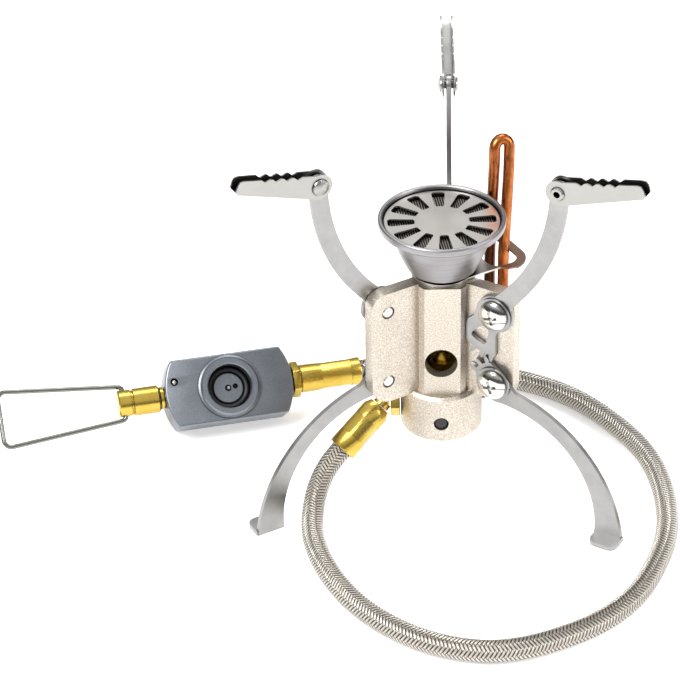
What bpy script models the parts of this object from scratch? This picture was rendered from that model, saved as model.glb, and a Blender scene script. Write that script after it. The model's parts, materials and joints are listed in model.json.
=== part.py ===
"""Remote-canister camping stove: folding three-legged burner, braided hose and canister adapter.

Lengths below are millimetres and become metres when a mesh is made.  +Z is up and the feet stand on
z = 0.  The stove is drawn about its burner axis, which STOVE_X and STOVE_Y place in the part's frame.
Each wing of the body has its own plane: local X runs outwards, local Y up, and local Z is the axis of
the hinges on that wing, with the plates on its positive side.
"""

import math

import bmesh
import bpy
import numpy as np
from mathutils import Euler, Matrix, Vector

MM = 0.001
GAP = 0.3

# Place of the burner axis, which centres the stove's own box on the origin.
STOVE_X = 1.65
STOVE_Y = -15.55

# Body casting.
BASE_R = 13.1
BASE_BOTTOM = 22.8
BASE_TOP = 39.5
COLUMN_R = 9.5
BODY_TOP = 79.4
BORE_R = 6.9
BORE_BOTTOM = 43.0
STRIP_HALF = 5.4
STRIP_FRONT = 10.2
STRIP_SIDE = 7.4
AIR_HOLE_R = 5.2
AIR_HOLE_Z = 51.4
SET_SCREW_R = 2.1
SET_SCREW_Z = 29.9
WING_ANGLES = (-30.0, 210.0, 90.0)
WING_R = 26.8
WING_BOTTOM = 38.6
WING_THICK = 4.5
WING_BEVEL = 0.45

# Burner.
CUP_FOOT_R = 8.65
CUP_FOOT_Z = 80.4
CUP_WALL_START = (11.0, 82.2)
CUP_RIM_R = 20.0
CUP_RIM_Z = 99.7
CUP_WALL = 1.0
CUP_STEM_R = 6.5
CUP_STEM_BORE_R = 5.3
CUP_STEM_END = 66.0
GRILLE_R = 18.0
GRILLE_Z = 97.9
GRILLE_THICK = 0.6
SLOT_COUNT = 12
SLOT_START = 3.0
GAUZE_R = 16.5
GAUZE_THICK = 0.3

# Plate that clamps round the neck and steadies the preheat tube.
BRACKET_Z = 79.6
BRACKET_THICK = 0.6
BRACKET_AZIMUTH = 30.0
BRACKET_RING_R = 9.2

# Preheat tube.
TUBE_R = 1.8
TUBE_SOCKET_R = 2.15
TUBE_SOCKET_DEPTH = 10.6
TUBE_INNER_LEG = {"azimuth": 41.1, "reach": 20.7, "socket_z": 32.6, "bend": 5.5}
TUBE_OUTER_LEG = {"azimuth": 26.4, "reach": 22.0, "socket_z": 28.2, "bend": 6.5}

# Folding arms and legs, in a wing's plane (distance from the burner axis, height).
UPPER_PIVOT = (20.9, 72.3)
LOWER_PIVOT = (20.9, 46.3)
SUPPORT_PIVOT = (42.2, 123.0)
PLATE_THICK = 1.5
PLATE_OFFSET = 3.25
ARM_ARC_CENTRE = (-24.0, 122.85)
ARM_INNER_R = 62.9
ARM_OUTER_R = 68.9
ARM_BOSS_R = 6.4
LEG_OUTER_CENTRE = (16.3, -5.0)
LEG_OUTER_R = 50.9
LEG_INNER_CENTRE = (21.5, 3.2)
LEG_INNER_R = 36.1
LEG_BOSS_R = 6.2
FOOT_INNER = 58.0
FOOT_OUTER = 67.3
FOOT_REACH = 10.0
FOOT_CORNER_R = 2.6
SCREW_R = 1.9
SCREW_HOLE_R = 2.2
SCREW_HEAD_R = 4.9
WASHER_R = 5.8

# Gear teeth cut on the arms' and legs' ends.
ARM_TEETH = 32
LEG_TEETH = 16
GEAR_MODULE = (UPPER_PIVOT[1] - LOWER_PIVOT[1]) * 2 / (ARM_TEETH + LEG_TEETH)
PRESSURE_ANGLE = math.radians(20)
BACKLASH = 0.34
LEG_TOOTH_ANGLES = (109.0, 131.5, 154.0)

# Pot supports.
SUPPORT_GAP = 3.0
SUPPORT_WALL = 0.55
SUPPORT_END_R = 4.2
SUPPORT_LENGTH = 29.2
SUPPORT_SLOPE = 20.5
SUPPORT_TIP = 4.6
SUPPORT_WEB_START = 5.2
NOTCH_PITCH = 3.8
NOTCH_DEPTH = 0.9
RIVET_R = 1.5

# Gas inlet on the stove.
INLET_Y = 1.75
INLET_Z = 29.6
INLET_NUT = 3.0
ELBOW_R = 2.9
INLET_HEX = 9.4
STOVE_HOSE_END = (-32.4, -8.2, 17.1)

# Hose.
HOSE_R = 3.5
HOSE_RECESS = 3.0
HOSE_BORE_R = 4.0
HOSE_SPACING = 9.0
CRIMP_RING_R = 9.0
HOSE_ROUTE = (
    (-32.4, -8.2, 17.1), (-36.0, -11.0, 13.8), (-38.9, -14.7, 10.4), (-40.8, -19.5, 7.4),
    (-41.8, -25.4, 5.1), (-42.0, -32.1, 3.9), (-40.4, -43.4, 3.6), (-37.0, -54.2, 3.6),
    (-32.1, -64.5, 3.6), (-25.7, -73.9, 3.6), (-17.7, -82.0, 3.6), (-8.4, -88.6, 3.6),
    (2.1, -92.9, 3.6), (13.3, -94.5, 3.6), (24.5, -92.5, 3.6), (35.0, -88.1, 3.6),
    (44.8, -82.3, 3.6), (53.3, -74.7, 3.6), (60.0, -65.6, 3.6), (64.9, -55.3, 3.6),
    (68.7, -44.6, 3.6), (71.0, -33.4, 3.6), (71.6, -22.1, 3.6), (70.9, -10.7, 3.6),
    (68.8, 0.5, 3.6), (64.9, 11.2, 3.6), (59.3, 21.0, 3.6), (52.7, 30.3, 3.6),
    (45.0, 38.5, 3.6), (35.6, 45.2, 3.6), (25.2, 49.6, 3.9), (14.1, 51.5, 5.4),
    (3.2, 51.1, 8.0), (-7.5, 49.0, 10.6), (-18.1, 46.0, 12.2),
    (-25.0, 43.6, 12.5),
)

# Canister adapter: its middle, the heading of its long axis and the lean of its face.
ADAPTER = (-70.7, 32.4, 13.1)
ADAPTER_HEADING = 13.6
ADAPTER_PITCH = 0.7
ADAPTER_LEAN = 48.0
ADAPTER_R = 21.6
ADAPTER_FLAT = 11.3
ADAPTER_THICK = 12.0
BOSS_R = 10.5
BOSS_HEIGHT = 2.0
SOCKET_R = 7.35
SOCKET_DEPTH = 5.2
CORE_R = 5.1
CORE_HEIGHT = 2.2
STOP_PIN = (-18.1, 4.0, 0.0)
KNOB_R = 4.6
KNOB_START = -23.3
KNOB_END = -37.1
BAIL_X = -34.9
BAIL_FAR = -76.6
BAIL_R = 0.8

FINISHES = {
    "bead_blasted_alloy": ((0.78, 0.74, 0.70), 0.45, 0.9),
    "turned_aluminium": ((0.80, 0.80, 0.81), 0.32, 1.0),
    "bright_stainless": ((0.82, 0.81, 0.79), 0.22, 1.0),
    "dark_mesh": ((0.30, 0.29, 0.28), 0.45, 1.0),
    "satin_steel": ((0.62, 0.61, 0.62), 0.38, 1.0),
    "chrome_screw": ((0.90, 0.90, 0.90), 0.10, 1.0),
    "copper_tube": ((0.80, 0.45, 0.28), 0.30, 1.0),
    "yellow_brass": ((0.86, 0.66, 0.25), 0.22, 1.0),
    "black_steel": ((0.03, 0.03, 0.035), 0.35, 0.8),
    "braided_wire": ((0.62, 0.62, 0.62), 0.40, 1.0),
    "anodised_blue_grey": ((0.36, 0.40, 0.45), 0.35, 0.9),
    "black_rubber": ((0.02, 0.02, 0.02), 0.55, 0.0),
    "spring_wire": ((0.72, 0.73, 0.72), 0.25, 1.0),
}


# ---------------------------------------------------------------- scene and helpers

def clear_scene():
    for obj in list(bpy.data.objects):
        bpy.data.objects.remove(obj, do_unlink=True)


def new_collection(name):
    collection = bpy.data.collections.new(name)
    bpy.context.scene.collection.children.link(collection)
    return collection


def make_material(name, colour, roughness, metallic):
    material = bpy.data.materials.new(name)
    material.use_nodes = True
    shader = material.node_tree.nodes["Principled BSDF"]
    shader.inputs["Base Color"].default_value = (*colour, 1.0)
    shader.inputs["Roughness"].default_value = roughness
    shader.inputs["Metallic"].default_value = metallic
    return material


clear_scene()
PARTS = new_collection("canister_stove")
CUTTERS = new_collection("cutters")
MATERIALS = {name: make_material(name, *finish) for name, finish in FINISHES.items()}


def empty(name, location, rotation=(0, 0, 0), parent=None):
    """Add an empty; location is in millimetres and rotation in degrees, under its parent."""
    obj = bpy.data.objects.new(name, None)
    obj.empty_display_size = 0.01
    obj.location = Vector(location) * MM
    obj.rotation_euler = [math.radians(angle) for angle in rotation]
    obj.parent = parent
    PARTS.objects.link(obj)
    return obj


def add(name, mesh, finish, parent):
    obj = bpy.data.objects.new(name, mesh)
    obj.parent = parent
    PARTS.objects.link(obj)
    if finish and not mesh.materials:
        mesh.materials.append(MATERIALS[finish])
    return obj


def evaluated_mesh(obj):
    bpy.context.view_layer.update()
    graph = bpy.context.evaluated_depsgraph_get()
    return bpy.data.meshes.new_from_object(obj.evaluated_get(graph))


def weld(mesh, distance=0.004):
    """Join vertices closer than distance, in millimetres."""
    shape = bmesh.new()
    shape.from_mesh(mesh)
    bmesh.ops.remove_doubles(shape, verts=shape.verts, dist=distance * MM)
    shape.to_mesh(mesh)
    shape.free()


def settle(obj, angle=35.0):
    """Turn the object's modifiers into its mesh, and shade it smooth up to the given angle."""
    mesh = evaluated_mesh(obj)
    mesh.name = obj.name
    obj.modifiers.clear()
    obj.data = mesh
    mesh.shade_smooth()
    mesh.set_sharp_from_angle(angle=math.radians(angle))
    return obj


def arc(centre, radius, start, end, steps):
    """Points on a circle from start to end, in degrees."""
    angles = [math.radians(start + (end - start) * i / steps) for i in range(steps + 1)]
    return [(centre[0] + radius * math.cos(a), centre[1] + radius * math.sin(a)) for a in angles]


def circle(centre, radius, steps=20):
    return arc(centre, radius, 0, 360, steps)[:-1]


def bezier(points, t):
    """Point at t on the Bezier curve of the given control points."""
    while len(points) > 1:
        points = [first.lerp(second, t) for first, second in zip(points, points[1:])]
    return points[0]


def shifted(points, origin):
    return [(x - origin[0], y - origin[1]) for x, y in points]


def plate_mesh(name, outlines, thickness, offset=0.0):
    """Flat plate from 2D outlines, the first outside and the others holes, centred on offset."""
    curve = bpy.data.curves.new(name, "CURVE")
    curve.dimensions = "2D"
    curve.fill_mode = "BOTH"
    curve.extrude = thickness / 2 * MM
    for outline in outlines:
        spline = curve.splines.new("POLY")
        spline.points.add(len(outline) - 1)
        for point, (x, y) in zip(spline.points, outline):
            point.co = (x * MM, y * MM, 0, 1)
        spline.use_cyclic_u = True
    holder = bpy.data.objects.new(name, curve)
    CUTTERS.objects.link(holder)
    mesh = evaluated_mesh(holder)
    bpy.data.objects.remove(holder, do_unlink=True)
    weld(mesh)
    mesh.transform(Matrix.Translation((0, 0, offset * MM)))
    return mesh


def turned_mesh(name, profile, steps=32, closed=False):
    """Turn a profile of (radius, height) about Z; it runs down its outer side."""
    mesh = bpy.data.meshes.new(name)
    edges = [(i, i + 1) for i in range(len(profile) - 1)]
    if closed:
        edges.append((len(profile) - 1, 0))
    mesh.from_pydata([(r * MM, 0, z * MM) for r, z in profile], edges, [])
    holder = bpy.data.objects.new(name, mesh)
    CUTTERS.objects.link(holder)
    screw = holder.modifiers.new("turn", "SCREW")
    screw.axis = "Z"
    screw.steps = screw.render_steps = steps
    screw.use_merge_vertices = True
    screw.merge_threshold = 0.00001
    result = evaluated_mesh(holder)
    bpy.data.objects.remove(holder, do_unlink=True)
    weld(result)
    return result


def prism_mesh(name, radius, bottom, top, sides, turn=0.0):
    """Upright prism or cylinder about Z."""
    shape = bmesh.new()
    place = Matrix.Translation((0, 0, (bottom + top) / 2 * MM))
    place @= Matrix.Rotation(math.radians(turn), 4, "Z")
    bmesh.ops.create_cone(shape, cap_ends=True, segments=sides, radius1=radius * MM, radius2=radius * MM,
                          depth=(top - bottom) * MM, matrix=place)
    mesh = bpy.data.meshes.new(name)
    shape.to_mesh(mesh)
    shape.free()
    return mesh


def wire_mesh(name, points, radius, resolution=2):
    """Round wire or tube along points."""
    curve = bpy.data.curves.new(name, "CURVE")
    curve.dimensions = "3D"
    curve.bevel_depth = radius * MM
    curve.bevel_resolution = resolution
    curve.use_fill_caps = True
    spline = curve.splines.new("POLY")
    spline.points.add(len(points) - 1)
    for point, place in zip(spline.points, points):
        point.co = (*(Vector(place) * MM), 1)
    holder = bpy.data.objects.new(name, curve)
    CUTTERS.objects.link(holder)
    mesh = evaluated_mesh(holder)
    bpy.data.objects.remove(holder, do_unlink=True)
    weld(mesh)
    return mesh


def boolean(obj, mesh, operation, matrix=None):
    """Cut or join obj with a mesh that is placed by matrix in obj's parent's space."""
    tool = bpy.data.objects.new(f"{obj.name}_{operation.lower()}", mesh)
    CUTTERS.objects.link(tool)
    tool.parent = obj.parent
    tool.matrix_local = matrix or Matrix.Identity(4)
    tool.hide_render = True
    tool.display_type = "WIRE"
    step = obj.modifiers.new(operation.lower(), "BOOLEAN")
    step.operation = operation
    step.solver = "EXACT"
    step.object = tool


def along_x(x, y, z):
    """Matrix that turns local Z to +X, at a point in millimetres."""
    return Matrix.Translation(Vector((x, y, z)) * MM) @ Matrix.Rotation(math.radians(90), 4, "Y")


def along_y(x, y, z):
    """Matrix that turns local Z to -Y, at a point in millimetres."""
    return Matrix.Translation(Vector((x, y, z)) * MM) @ Matrix.Rotation(math.radians(90), 4, "X")


def bevelled(mesh, width):
    """Return the mesh with its sharp edges bevelled by width."""
    holder = bpy.data.objects.new(mesh.name, mesh)
    CUTTERS.objects.link(holder)
    bevel = holder.modifiers.new("bevel", "BEVEL")
    bevel.width = width * MM
    bevel.segments = 1
    bevel.limit_method = "ANGLE"
    bevel.angle_limit = math.radians(50)
    result = evaluated_mesh(holder)
    bpy.data.objects.remove(holder, do_unlink=True)
    return result


# ---------------------------------------------------------------- body

def wing_plane(angle):
    """Matrix of a wing's plane: local X outwards, local Y up, local Z along the hinge axes."""
    return Matrix.Rotation(math.radians(angle), 4, "Z") @ Matrix.Rotation(math.radians(90), 4, "X")


def wing_outline():
    top_corner = arc((WING_R - 5.0, BODY_TOP - 5.1), 5.0, 0, 90, 4)
    bottom_corner = arc((WING_R - 7.0, WING_BOTTOM + 7.0), 7.0, -90, 0, 4)
    return [(0.0, WING_BOTTOM)] + bottom_corner + top_corner + [(0.0, BODY_TOP - 0.1)]


def build_body(stove):
    profile = [(0, BODY_TOP), (COLUMN_R - 0.4, BODY_TOP), (COLUMN_R, BODY_TOP - 0.4),
               (COLUMN_R, BASE_TOP), (BASE_R - 0.9, BASE_TOP), (BASE_R, BASE_TOP - 0.9),
               (BASE_R, BASE_BOTTOM + 0.7), (BASE_R - 0.7, BASE_BOTTOM), (0, BASE_BOTTOM)]
    body = add("body_casting", turned_mesh("body_casting", profile, 32), "bead_blasted_alloy", stove)
    strip = [(-STRIP_SIDE, 0), (-STRIP_SIDE, -STRIP_FRONT + 1.8), (-STRIP_HALF - 0.3, -STRIP_FRONT + 0.1),
             (-STRIP_HALF + 0.4, -STRIP_FRONT), (STRIP_HALF - 0.4, -STRIP_FRONT),
             (STRIP_HALF + 0.3, -STRIP_FRONT + 0.1), (STRIP_SIDE, -STRIP_FRONT + 1.8), (STRIP_SIDE, 0)]
    height = BODY_TOP - BASE_TOP
    boolean(body, plate_mesh("front_strip", [strip], height, BASE_TOP + height / 2 - 0.05), "UNION")
    for angle in WING_ANGLES:
        wing = bevelled(plate_mesh("wing", [wing_outline()], WING_THICK), WING_BEVEL)
        boolean(body, wing, "UNION", wing_plane(angle))
    boolean(body, prism_mesh("bore", BORE_R, BORE_BOTTOM, BODY_TOP + 5, 24), "DIFFERENCE")
    boolean(body, prism_mesh("air_hole", AIR_HOLE_R, 0, 15, 24), "DIFFERENCE",
            along_y(-0.4, 0, AIR_HOLE_Z))
    boolean(body, prism_mesh("set_screw_hole", SET_SCREW_R + GAP, 8.0, 15, 14), "DIFFERENCE",
            along_y(-0.4, 0, SET_SCREW_Z))
    boolean(body, prism_mesh("jet_seat", 2.6, BORE_BOTTOM - 4, BORE_BOTTOM + 1, 16), "DIFFERENCE")
    for leg in (TUBE_INNER_LEG, TUBE_OUTER_LEG):
        socket = prism_mesh("tube_socket", TUBE_SOCKET_R, TUBE_SOCKET_DEPTH - GAP, 16, 12)
        turn = Matrix.Rotation(math.radians(leg["azimuth"]), 4, "Z")
        boolean(body, socket, "DIFFERENCE", turn @ along_x(0, 0, leg["socket_z"]))
    for angle in WING_ANGLES:
        for r, z in (UPPER_PIVOT, LOWER_PIVOT):
            hole = prism_mesh("screw_hole", SCREW_HOLE_R, -5, 5, 12)
            boolean(body, hole, "DIFFERENCE", wing_plane(angle) @ Matrix.Translation(Vector((r, z, 0)) * MM))
    settle(body)


def build_set_screw(stove):
    profile = [(0, 12.5), (SET_SCREW_R - 0.3, 12.5), (SET_SCREW_R, 12.2), (SET_SCREW_R, 8.4), (0, 8.4)]
    screw = add("set_screw", turned_mesh("set_screw", profile, 12), "black_steel", stove)
    screw.matrix_local = along_y(-0.4, 0, SET_SCREW_Z)
    boolean(screw, prism_mesh("hex_socket", 1.2, 10.4, 13, 6), "DIFFERENCE", screw.matrix_local)
    settle(screw)


def build_jet(stove):
    """Brass jet: a threaded stem in the floor of the bore, a hexagon and a conical tip."""
    stem = [(0, BORE_BOTTOM + 0.8), (2.3, BORE_BOTTOM + 0.8), (2.3, BORE_BOTTOM - 3.6),
            (0, BORE_BOTTOM - 3.6)]
    tip = [(0, BORE_BOTTOM + 6.4), (1.3, BORE_BOTTOM + 6.4), (1.6, BORE_BOTTOM + 6.1),
           (2.8, BORE_BOTTOM + 4.8), (2.8, BORE_BOTTOM + 3.0), (0, BORE_BOTTOM + 3.0)]
    jet = add("jet_nozzle", prism_mesh("jet_nozzle", 4.4, BORE_BOTTOM + GAP, BORE_BOTTOM + 3.9, 6, 12),
              "yellow_brass", stove)
    boolean(jet, turned_mesh("jet_stem", stem, 12), "UNION")
    boolean(jet, turned_mesh("jet_tip", tip, 12), "UNION")
    boolean(jet, prism_mesh("jet_orifice", 0.35, BORE_BOTTOM + 5.5, BORE_BOTTOM + 9, 8), "DIFFERENCE")
    settle(jet)


# ---------------------------------------------------------------- burner

def cup_outer(t):
    """Bowl of the cup from its lower edge, t = 0, to the rim's underside, t = 1."""
    radius, height = CUP_WALL_START
    return radius + 4.2 * math.sin(math.radians(90 * t)), height + 13.4 * t


def build_cup(stove):
    steps = 4
    wall = [cup_outer(1 - i / steps) for i in range(steps + 1)]
    inner = [(r - CUP_WALL, z + 0.9) for r, z in reversed(wall)]
    rim = arc((CUP_RIM_R - 0.75, CUP_RIM_Z - 0.75), 0.75, 150, -30, 4)
    profile = rim + [(CUP_RIM_R - 0.1, CUP_RIM_Z - 2.3), (CUP_RIM_R - 0.5, CUP_RIM_Z - 2.8),
                     (CUP_RIM_R - 3.2, CUP_RIM_Z - 3.5)]
    profile += wall
    edge_r, edge_z = CUP_WALL_START
    profile += [(edge_r - 0.3, edge_z - 0.2), (CUP_FOOT_R, edge_z - 0.2), (CUP_FOOT_R, CUP_FOOT_Z + 0.2),
                (CUP_FOOT_R - 0.2, CUP_FOOT_Z), (CUP_STEM_R, CUP_FOOT_Z),
                (CUP_STEM_R, CUP_STEM_END), (CUP_STEM_BORE_R, CUP_STEM_END),
                (CUP_STEM_BORE_R, CUP_FOOT_Z + 1.6)]
    profile += inner
    profile += [(GAUZE_R + 0.4, CUP_RIM_Z - 3.0), (GAUZE_R + 0.4, CUP_RIM_Z - 2.4),
                (CUP_RIM_R - 1.5, CUP_RIM_Z - 2.4)]
    cup = add("burner_cup", turned_mesh("burner_cup", profile, 36, closed=True), "turned_aluminium", stove)
    settle(cup, 28)


def wedge_slot(angle):
    """Slot of the grille: a wedge that widens outwards, with rounded corners."""
    local = []
    for x, y, radius, start, end in ((9.2, 0.7, 0.7, 94, 180), (9.2, -0.7, 0.7, 180, 266),
                                     (15.8, -0.95, 1.2, -86, -8), (15.8, 0.95, 1.2, 8, 86)):
        local += arc((x, y), radius, start, end, 2)
    turn = math.radians(angle)
    across, along = math.cos(turn), math.sin(turn)
    return [(x * across - y * along, x * along + y * across) for x, y in local]


def build_grille(stove):
    slots = [wedge_slot(SLOT_START + 360 / SLOT_COUNT * i) for i in range(SLOT_COUNT)]
    mesh = plate_mesh("burner_grille", [circle((0, 0), GRILLE_R, 36)] + slots, GRILLE_THICK, GRILLE_Z)
    settle(add("burner_grille", mesh, "bright_stainless", stove))


def build_gauze(stove):
    """Fine mesh that lies inside the cup, under the grille."""
    top = GRILLE_Z - GRILLE_THICK / 2 - GAP
    mesh = prism_mesh("burner_gauze", GAUZE_R, top - GAUZE_THICK, top, 30)
    settle(add("burner_gauze", mesh, "dark_mesh", stove))


def build_bracket(stove):
    """Thin plate: a ring round the neck and a slotted lug that the preheat tube passes through."""
    half_root, half_lug, end = 8.3, 11.2, 27.6
    start = math.degrees(math.asin(half_root / BRACKET_RING_R))
    outline = arc((0, 0), BRACKET_RING_R, start, 360 - start, 18)
    outline += [(16.5, -half_root), (18.2, -9.9)]
    outline += arc((end - 7.5, -half_lug + 7.5), 7.5, -80, 0, 4)
    outline += arc((end - 7.5, half_lug - 7.5), 7.5, 0, 80, 4)
    outline += [(18.2, 9.9), (16.5, half_root)]
    slot = []
    for x, y, turn in ((20.5, 4, 0), (18.2, 4, 90), (18.2, -4, 180), (20.5, -4, 270)):
        slot += arc((x, y), 4.0, turn, turn + 90, 3)
    mesh = plate_mesh("tube_bracket", [outline, circle((0, 0), BORE_R, 24), slot], BRACKET_THICK,
                      BRACKET_Z + BRACKET_THICK / 2)
    bracket = add("tube_bracket", mesh, "bright_stainless", stove)
    bracket.rotation_euler.z = math.radians(BRACKET_AZIMUTH)
    settle(bracket)


def tube_leg_foot(leg):
    """Lower end of a tube leg: out of its socket in the base and round a bend to the upright."""
    azimuth = math.radians(leg["azimuth"])
    centre = (leg["reach"] - leg["bend"], leg["socket_z"] + leg["bend"])
    side = [(TUBE_SOCKET_DEPTH, leg["socket_z"])] + arc(centre, leg["bend"], -90, 0, 6)
    side.append((leg["reach"], 60.0))
    return [(r * math.cos(azimuth), r * math.sin(azimuth), z) for r, z in side]


def build_preheat_tube(stove):
    """Hairpin that carries the gas up beside the burner's rim and back down to the body."""
    inner = tube_leg_foot(TUBE_INNER_LEG) + [(15.7, 13.6, 80.0), (16.4, 15.2, 97.0), (16.8, 16.1, 108.0)]
    outer = tube_leg_foot(TUBE_OUTER_LEG) + [(19.8, 9.9, 80.0), (20.8, 13.4, 97.0), (21.4, 16.2, 108.0)]
    left, right = Vector((16.9, 16.3, 114.3)), Vector((21.5, 17.7, 114.3))
    middle, half = (left + right) / 2, (right - left) / 2
    top = [middle - half * math.cos(a) + Vector((0, 0.9, 2.5)) * math.sin(a)
           for a in (math.radians(22.5 * i) for i in range(9))]
    path = inner + [tuple(point) for point in top] + outer[::-1]
    settle(add("preheat_tube", wire_mesh("preheat_tube", path, TUBE_R, 2), "copper_tube", stove), 60)


# ---------------------------------------------------------------- arms, legs and pot supports

def involute(angle):
    return math.tan(angle) - angle


def tooth(teeth, centre_angle):
    """Outline of one gear tooth about its gear's centre, anticlockwise, with thinned flanks."""
    pitch_r = GEAR_MODULE * teeth / 2
    base_r = pitch_r * math.cos(PRESSURE_ANGLE)
    root_r, tip_r = pitch_r - 1.25 * GEAR_MODULE, pitch_r + 0.94 * GEAR_MODULE
    half_pitch = (math.pi * GEAR_MODULE / 2 - BACKLASH) / 2 / pitch_r
    flank = []
    for radius in np.linspace(root_r, tip_r, 4):
        pressure = math.acos(min(1.0, base_r / radius))
        half = half_pitch + involute(PRESSURE_ANGLE) - involute(pressure)
        flank.append((radius, math.degrees(half)))
    sides = [(r, centre_angle - half) for r, half in flank]
    sides += [(r, centre_angle + half) for r, half in flank[::-1]]
    return [(r * math.cos(math.radians(a)), r * math.sin(math.radians(a))) for r, a in sides]


def arm_outline():
    """Arm in the wing's plane, about its hinge: curved blade, round boss and toothed tail."""
    centre = shifted([ARM_ARC_CENTRE], UPPER_PIVOT)[0]
    pivot = shifted([SUPPORT_PIVOT], UPPER_PIVOT)[0]
    points = arc(centre, ARM_OUTER_R, -42.9, -1.5, 10)
    points += arc(pivot, 3.05, 0, 180, 6)
    points += arc(centre, ARM_INNER_R, -1.5, -44.4, 10)
    points += arc((0, 0), ARM_BOSS_R, 92, 176, 5)
    points += [(-7.4, -2.6), (-9.3, -4.3), (-9.9, -6.0), (-9.9, -12.2)]
    points += [point for angle in arm_tooth_angles() for point in tooth(ARM_TEETH, angle)]
    points += [(0.35, -15.9), (0.35, -8.0), (1.0, -6.7)]
    points += arc((0, 0), ARM_BOSS_R, -75, 28, 5)
    return points


def arm_tooth_angles():
    """Teeth of the arm that mesh with the leg's teeth, left to right along the sector."""
    half_pitch = 180 / ARM_TEETH
    spaces = [270 - (angle - 90) * LEG_TEETH / ARM_TEETH for angle in LEG_TOOTH_ANGLES]
    return sorted(space - half_pitch for space in spaces[:2]) + [spaces[0] + half_pitch]


def arm_window():
    """Curved slot with cut corners through the arm's tail, as (radius, angle) about the hinge."""
    corners = [(12.1, 229), (13.1, 232), (13.1, 242.5), (13.1, 253), (12.1, 256), (7.9, 255), (6.9, 250),
               (6.9, 235), (7.9, 229)]
    return [(r * math.cos(math.radians(a)), r * math.sin(math.radians(a))) for r, a in corners[::-1]]


def leg_outline():
    """Leg in the wing's plane, about its hinge, down to the ground."""
    outer = shifted([LEG_OUTER_CENTRE], LOWER_PIVOT)[0]
    inner = shifted([LEG_INNER_CENTRE], LOWER_PIVOT)[0]
    ground = -LOWER_PIVOT[1]
    outer_start = math.degrees(math.asin((ground - outer[1]) / LEG_OUTER_R))
    inner_end = math.degrees(math.asin((ground - inner[1]) / LEG_INNER_R))
    points = arc(outer, LEG_OUTER_R, outer_start, 76.5, 11)
    points += [(5.9, -0.3), (4.1, 1.7), (1.9, 4.0), (-0.2, 6.2), (-1.3, 7.2)]
    points += [point for angle in LEG_TOOTH_ANGLES for point in tooth(LEG_TEETH, angle)]
    points += arc((0, 0), LEG_BOSS_R, 172, 255, 5)
    points += arc(inner, LEG_INNER_R, 91, inner_end, 10)
    return points


def support_outline():
    """Side of a pot support about its rivet: round end, sloping base, notched top."""
    slope = math.radians(SUPPORT_SLOPE)
    forward = Vector((math.cos(slope), math.sin(slope)))
    side = Vector((-math.sin(slope), math.cos(slope)))
    tip = forward * SUPPORT_LENGTH - side * SUPPORT_END_R
    points = [tuple(-side * SUPPORT_END_R)]
    points += [tuple(tip - forward * 0.8), tuple(tip + side * 0.8)]
    top_tip = tip + side * SUPPORT_TIP
    points += [tuple(top_tip - side * 1.6), tuple(top_tip - side * 0.5 - forward * 0.4)]
    points += [tuple(top_tip - forward * 1.6)]
    top_start = Vector((1.2, SUPPORT_END_R - 0.05))
    top_end = top_tip - forward * 1.6
    top = (top_start - top_end).normalized()
    down = Vector((-top.y, top.x))
    for i in range(4):
        middle = top_end + top * (7.6 + NOTCH_PITCH * i)
        points += [tuple(middle - top * 1.5), tuple(middle + down * NOTCH_DEPTH), tuple(middle + top * 1.5)]
    points += [tuple(top_start)]
    points += arc((0, 0), SUPPORT_END_R, 95, 270 + SUPPORT_SLOPE - 12, 7)
    return points


def support_channel():
    """Inside of the support's channel: open above the web and at the tip, and clear round the rivet."""
    slope = math.radians(SUPPORT_SLOPE)
    forward = Vector((math.cos(slope), math.sin(slope)))
    side = Vector((-math.sin(slope), math.cos(slope)))
    floor = -side * (SUPPORT_END_R - SUPPORT_WALL)
    start = forward * SUPPORT_WEB_START
    corners = [start - side * 9, start + floor, forward * (SUPPORT_LENGTH + 1) + floor,
               forward * (SUPPORT_LENGTH + 1) + side * 14, side * 14 - forward * 9, -forward * 9 - side * 9]
    return [tuple(corner) for corner in corners]


def arm_mesh():
    pivot = shifted([SUPPORT_PIVOT], UPPER_PIVOT)[0]
    holes = [circle((0, 0), SCREW_HOLE_R, 12), circle(pivot, RIVET_R + GAP, 12), arm_window()]
    return plate_mesh("arm", [arm_outline(), *holes], PLATE_THICK, PLATE_OFFSET)


def build_leg(name, parent):
    plate = plate_mesh("leg", [leg_outline(), circle((0, 0), SCREW_HOLE_R, 12)], PLATE_THICK, PLATE_OFFSET)
    leg = add(name, plate, "satin_steel", parent)
    inner, outer = FOOT_INNER - LOWER_PIVOT[0], FOOT_OUTER - LOWER_PIVOT[0]
    near = PLATE_OFFSET - PLATE_THICK / 2 + 0.4
    corner = -FOOT_REACH + FOOT_CORNER_R
    tab = [(inner, -near)] + arc((inner + FOOT_CORNER_R, corner), FOOT_CORNER_R, 180, 270, 3)
    tab += arc((outer - FOOT_CORNER_R, corner), FOOT_CORNER_R, 270, 360, 3) + [(outer, -near)]
    ground = -LOWER_PIVOT[1]
    turn = Matrix.Translation((0, (ground + 0.75) * MM, 0)) @ Matrix.Rotation(math.radians(-90), 4, "X")
    tab_mesh = plate_mesh("foot_tab", [tab], PLATE_THICK)
    tab_mesh.transform(turn)
    boolean(leg, tab_mesh, "UNION")
    settle(leg)
    return leg


def build_support(name, parent):
    wide = SUPPORT_GAP + 2 * SUPPORT_WALL
    side = plate_mesh("support", [support_outline(), circle((0, 0), RIVET_R + 0.2, 12)], wide, PLATE_OFFSET)
    support = add(name, side, "bright_stainless", parent)
    boolean(support, plate_mesh("channel", [support_channel()], SUPPORT_GAP, PLATE_OFFSET), "DIFFERENCE")
    settle(support)
    return support


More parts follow.
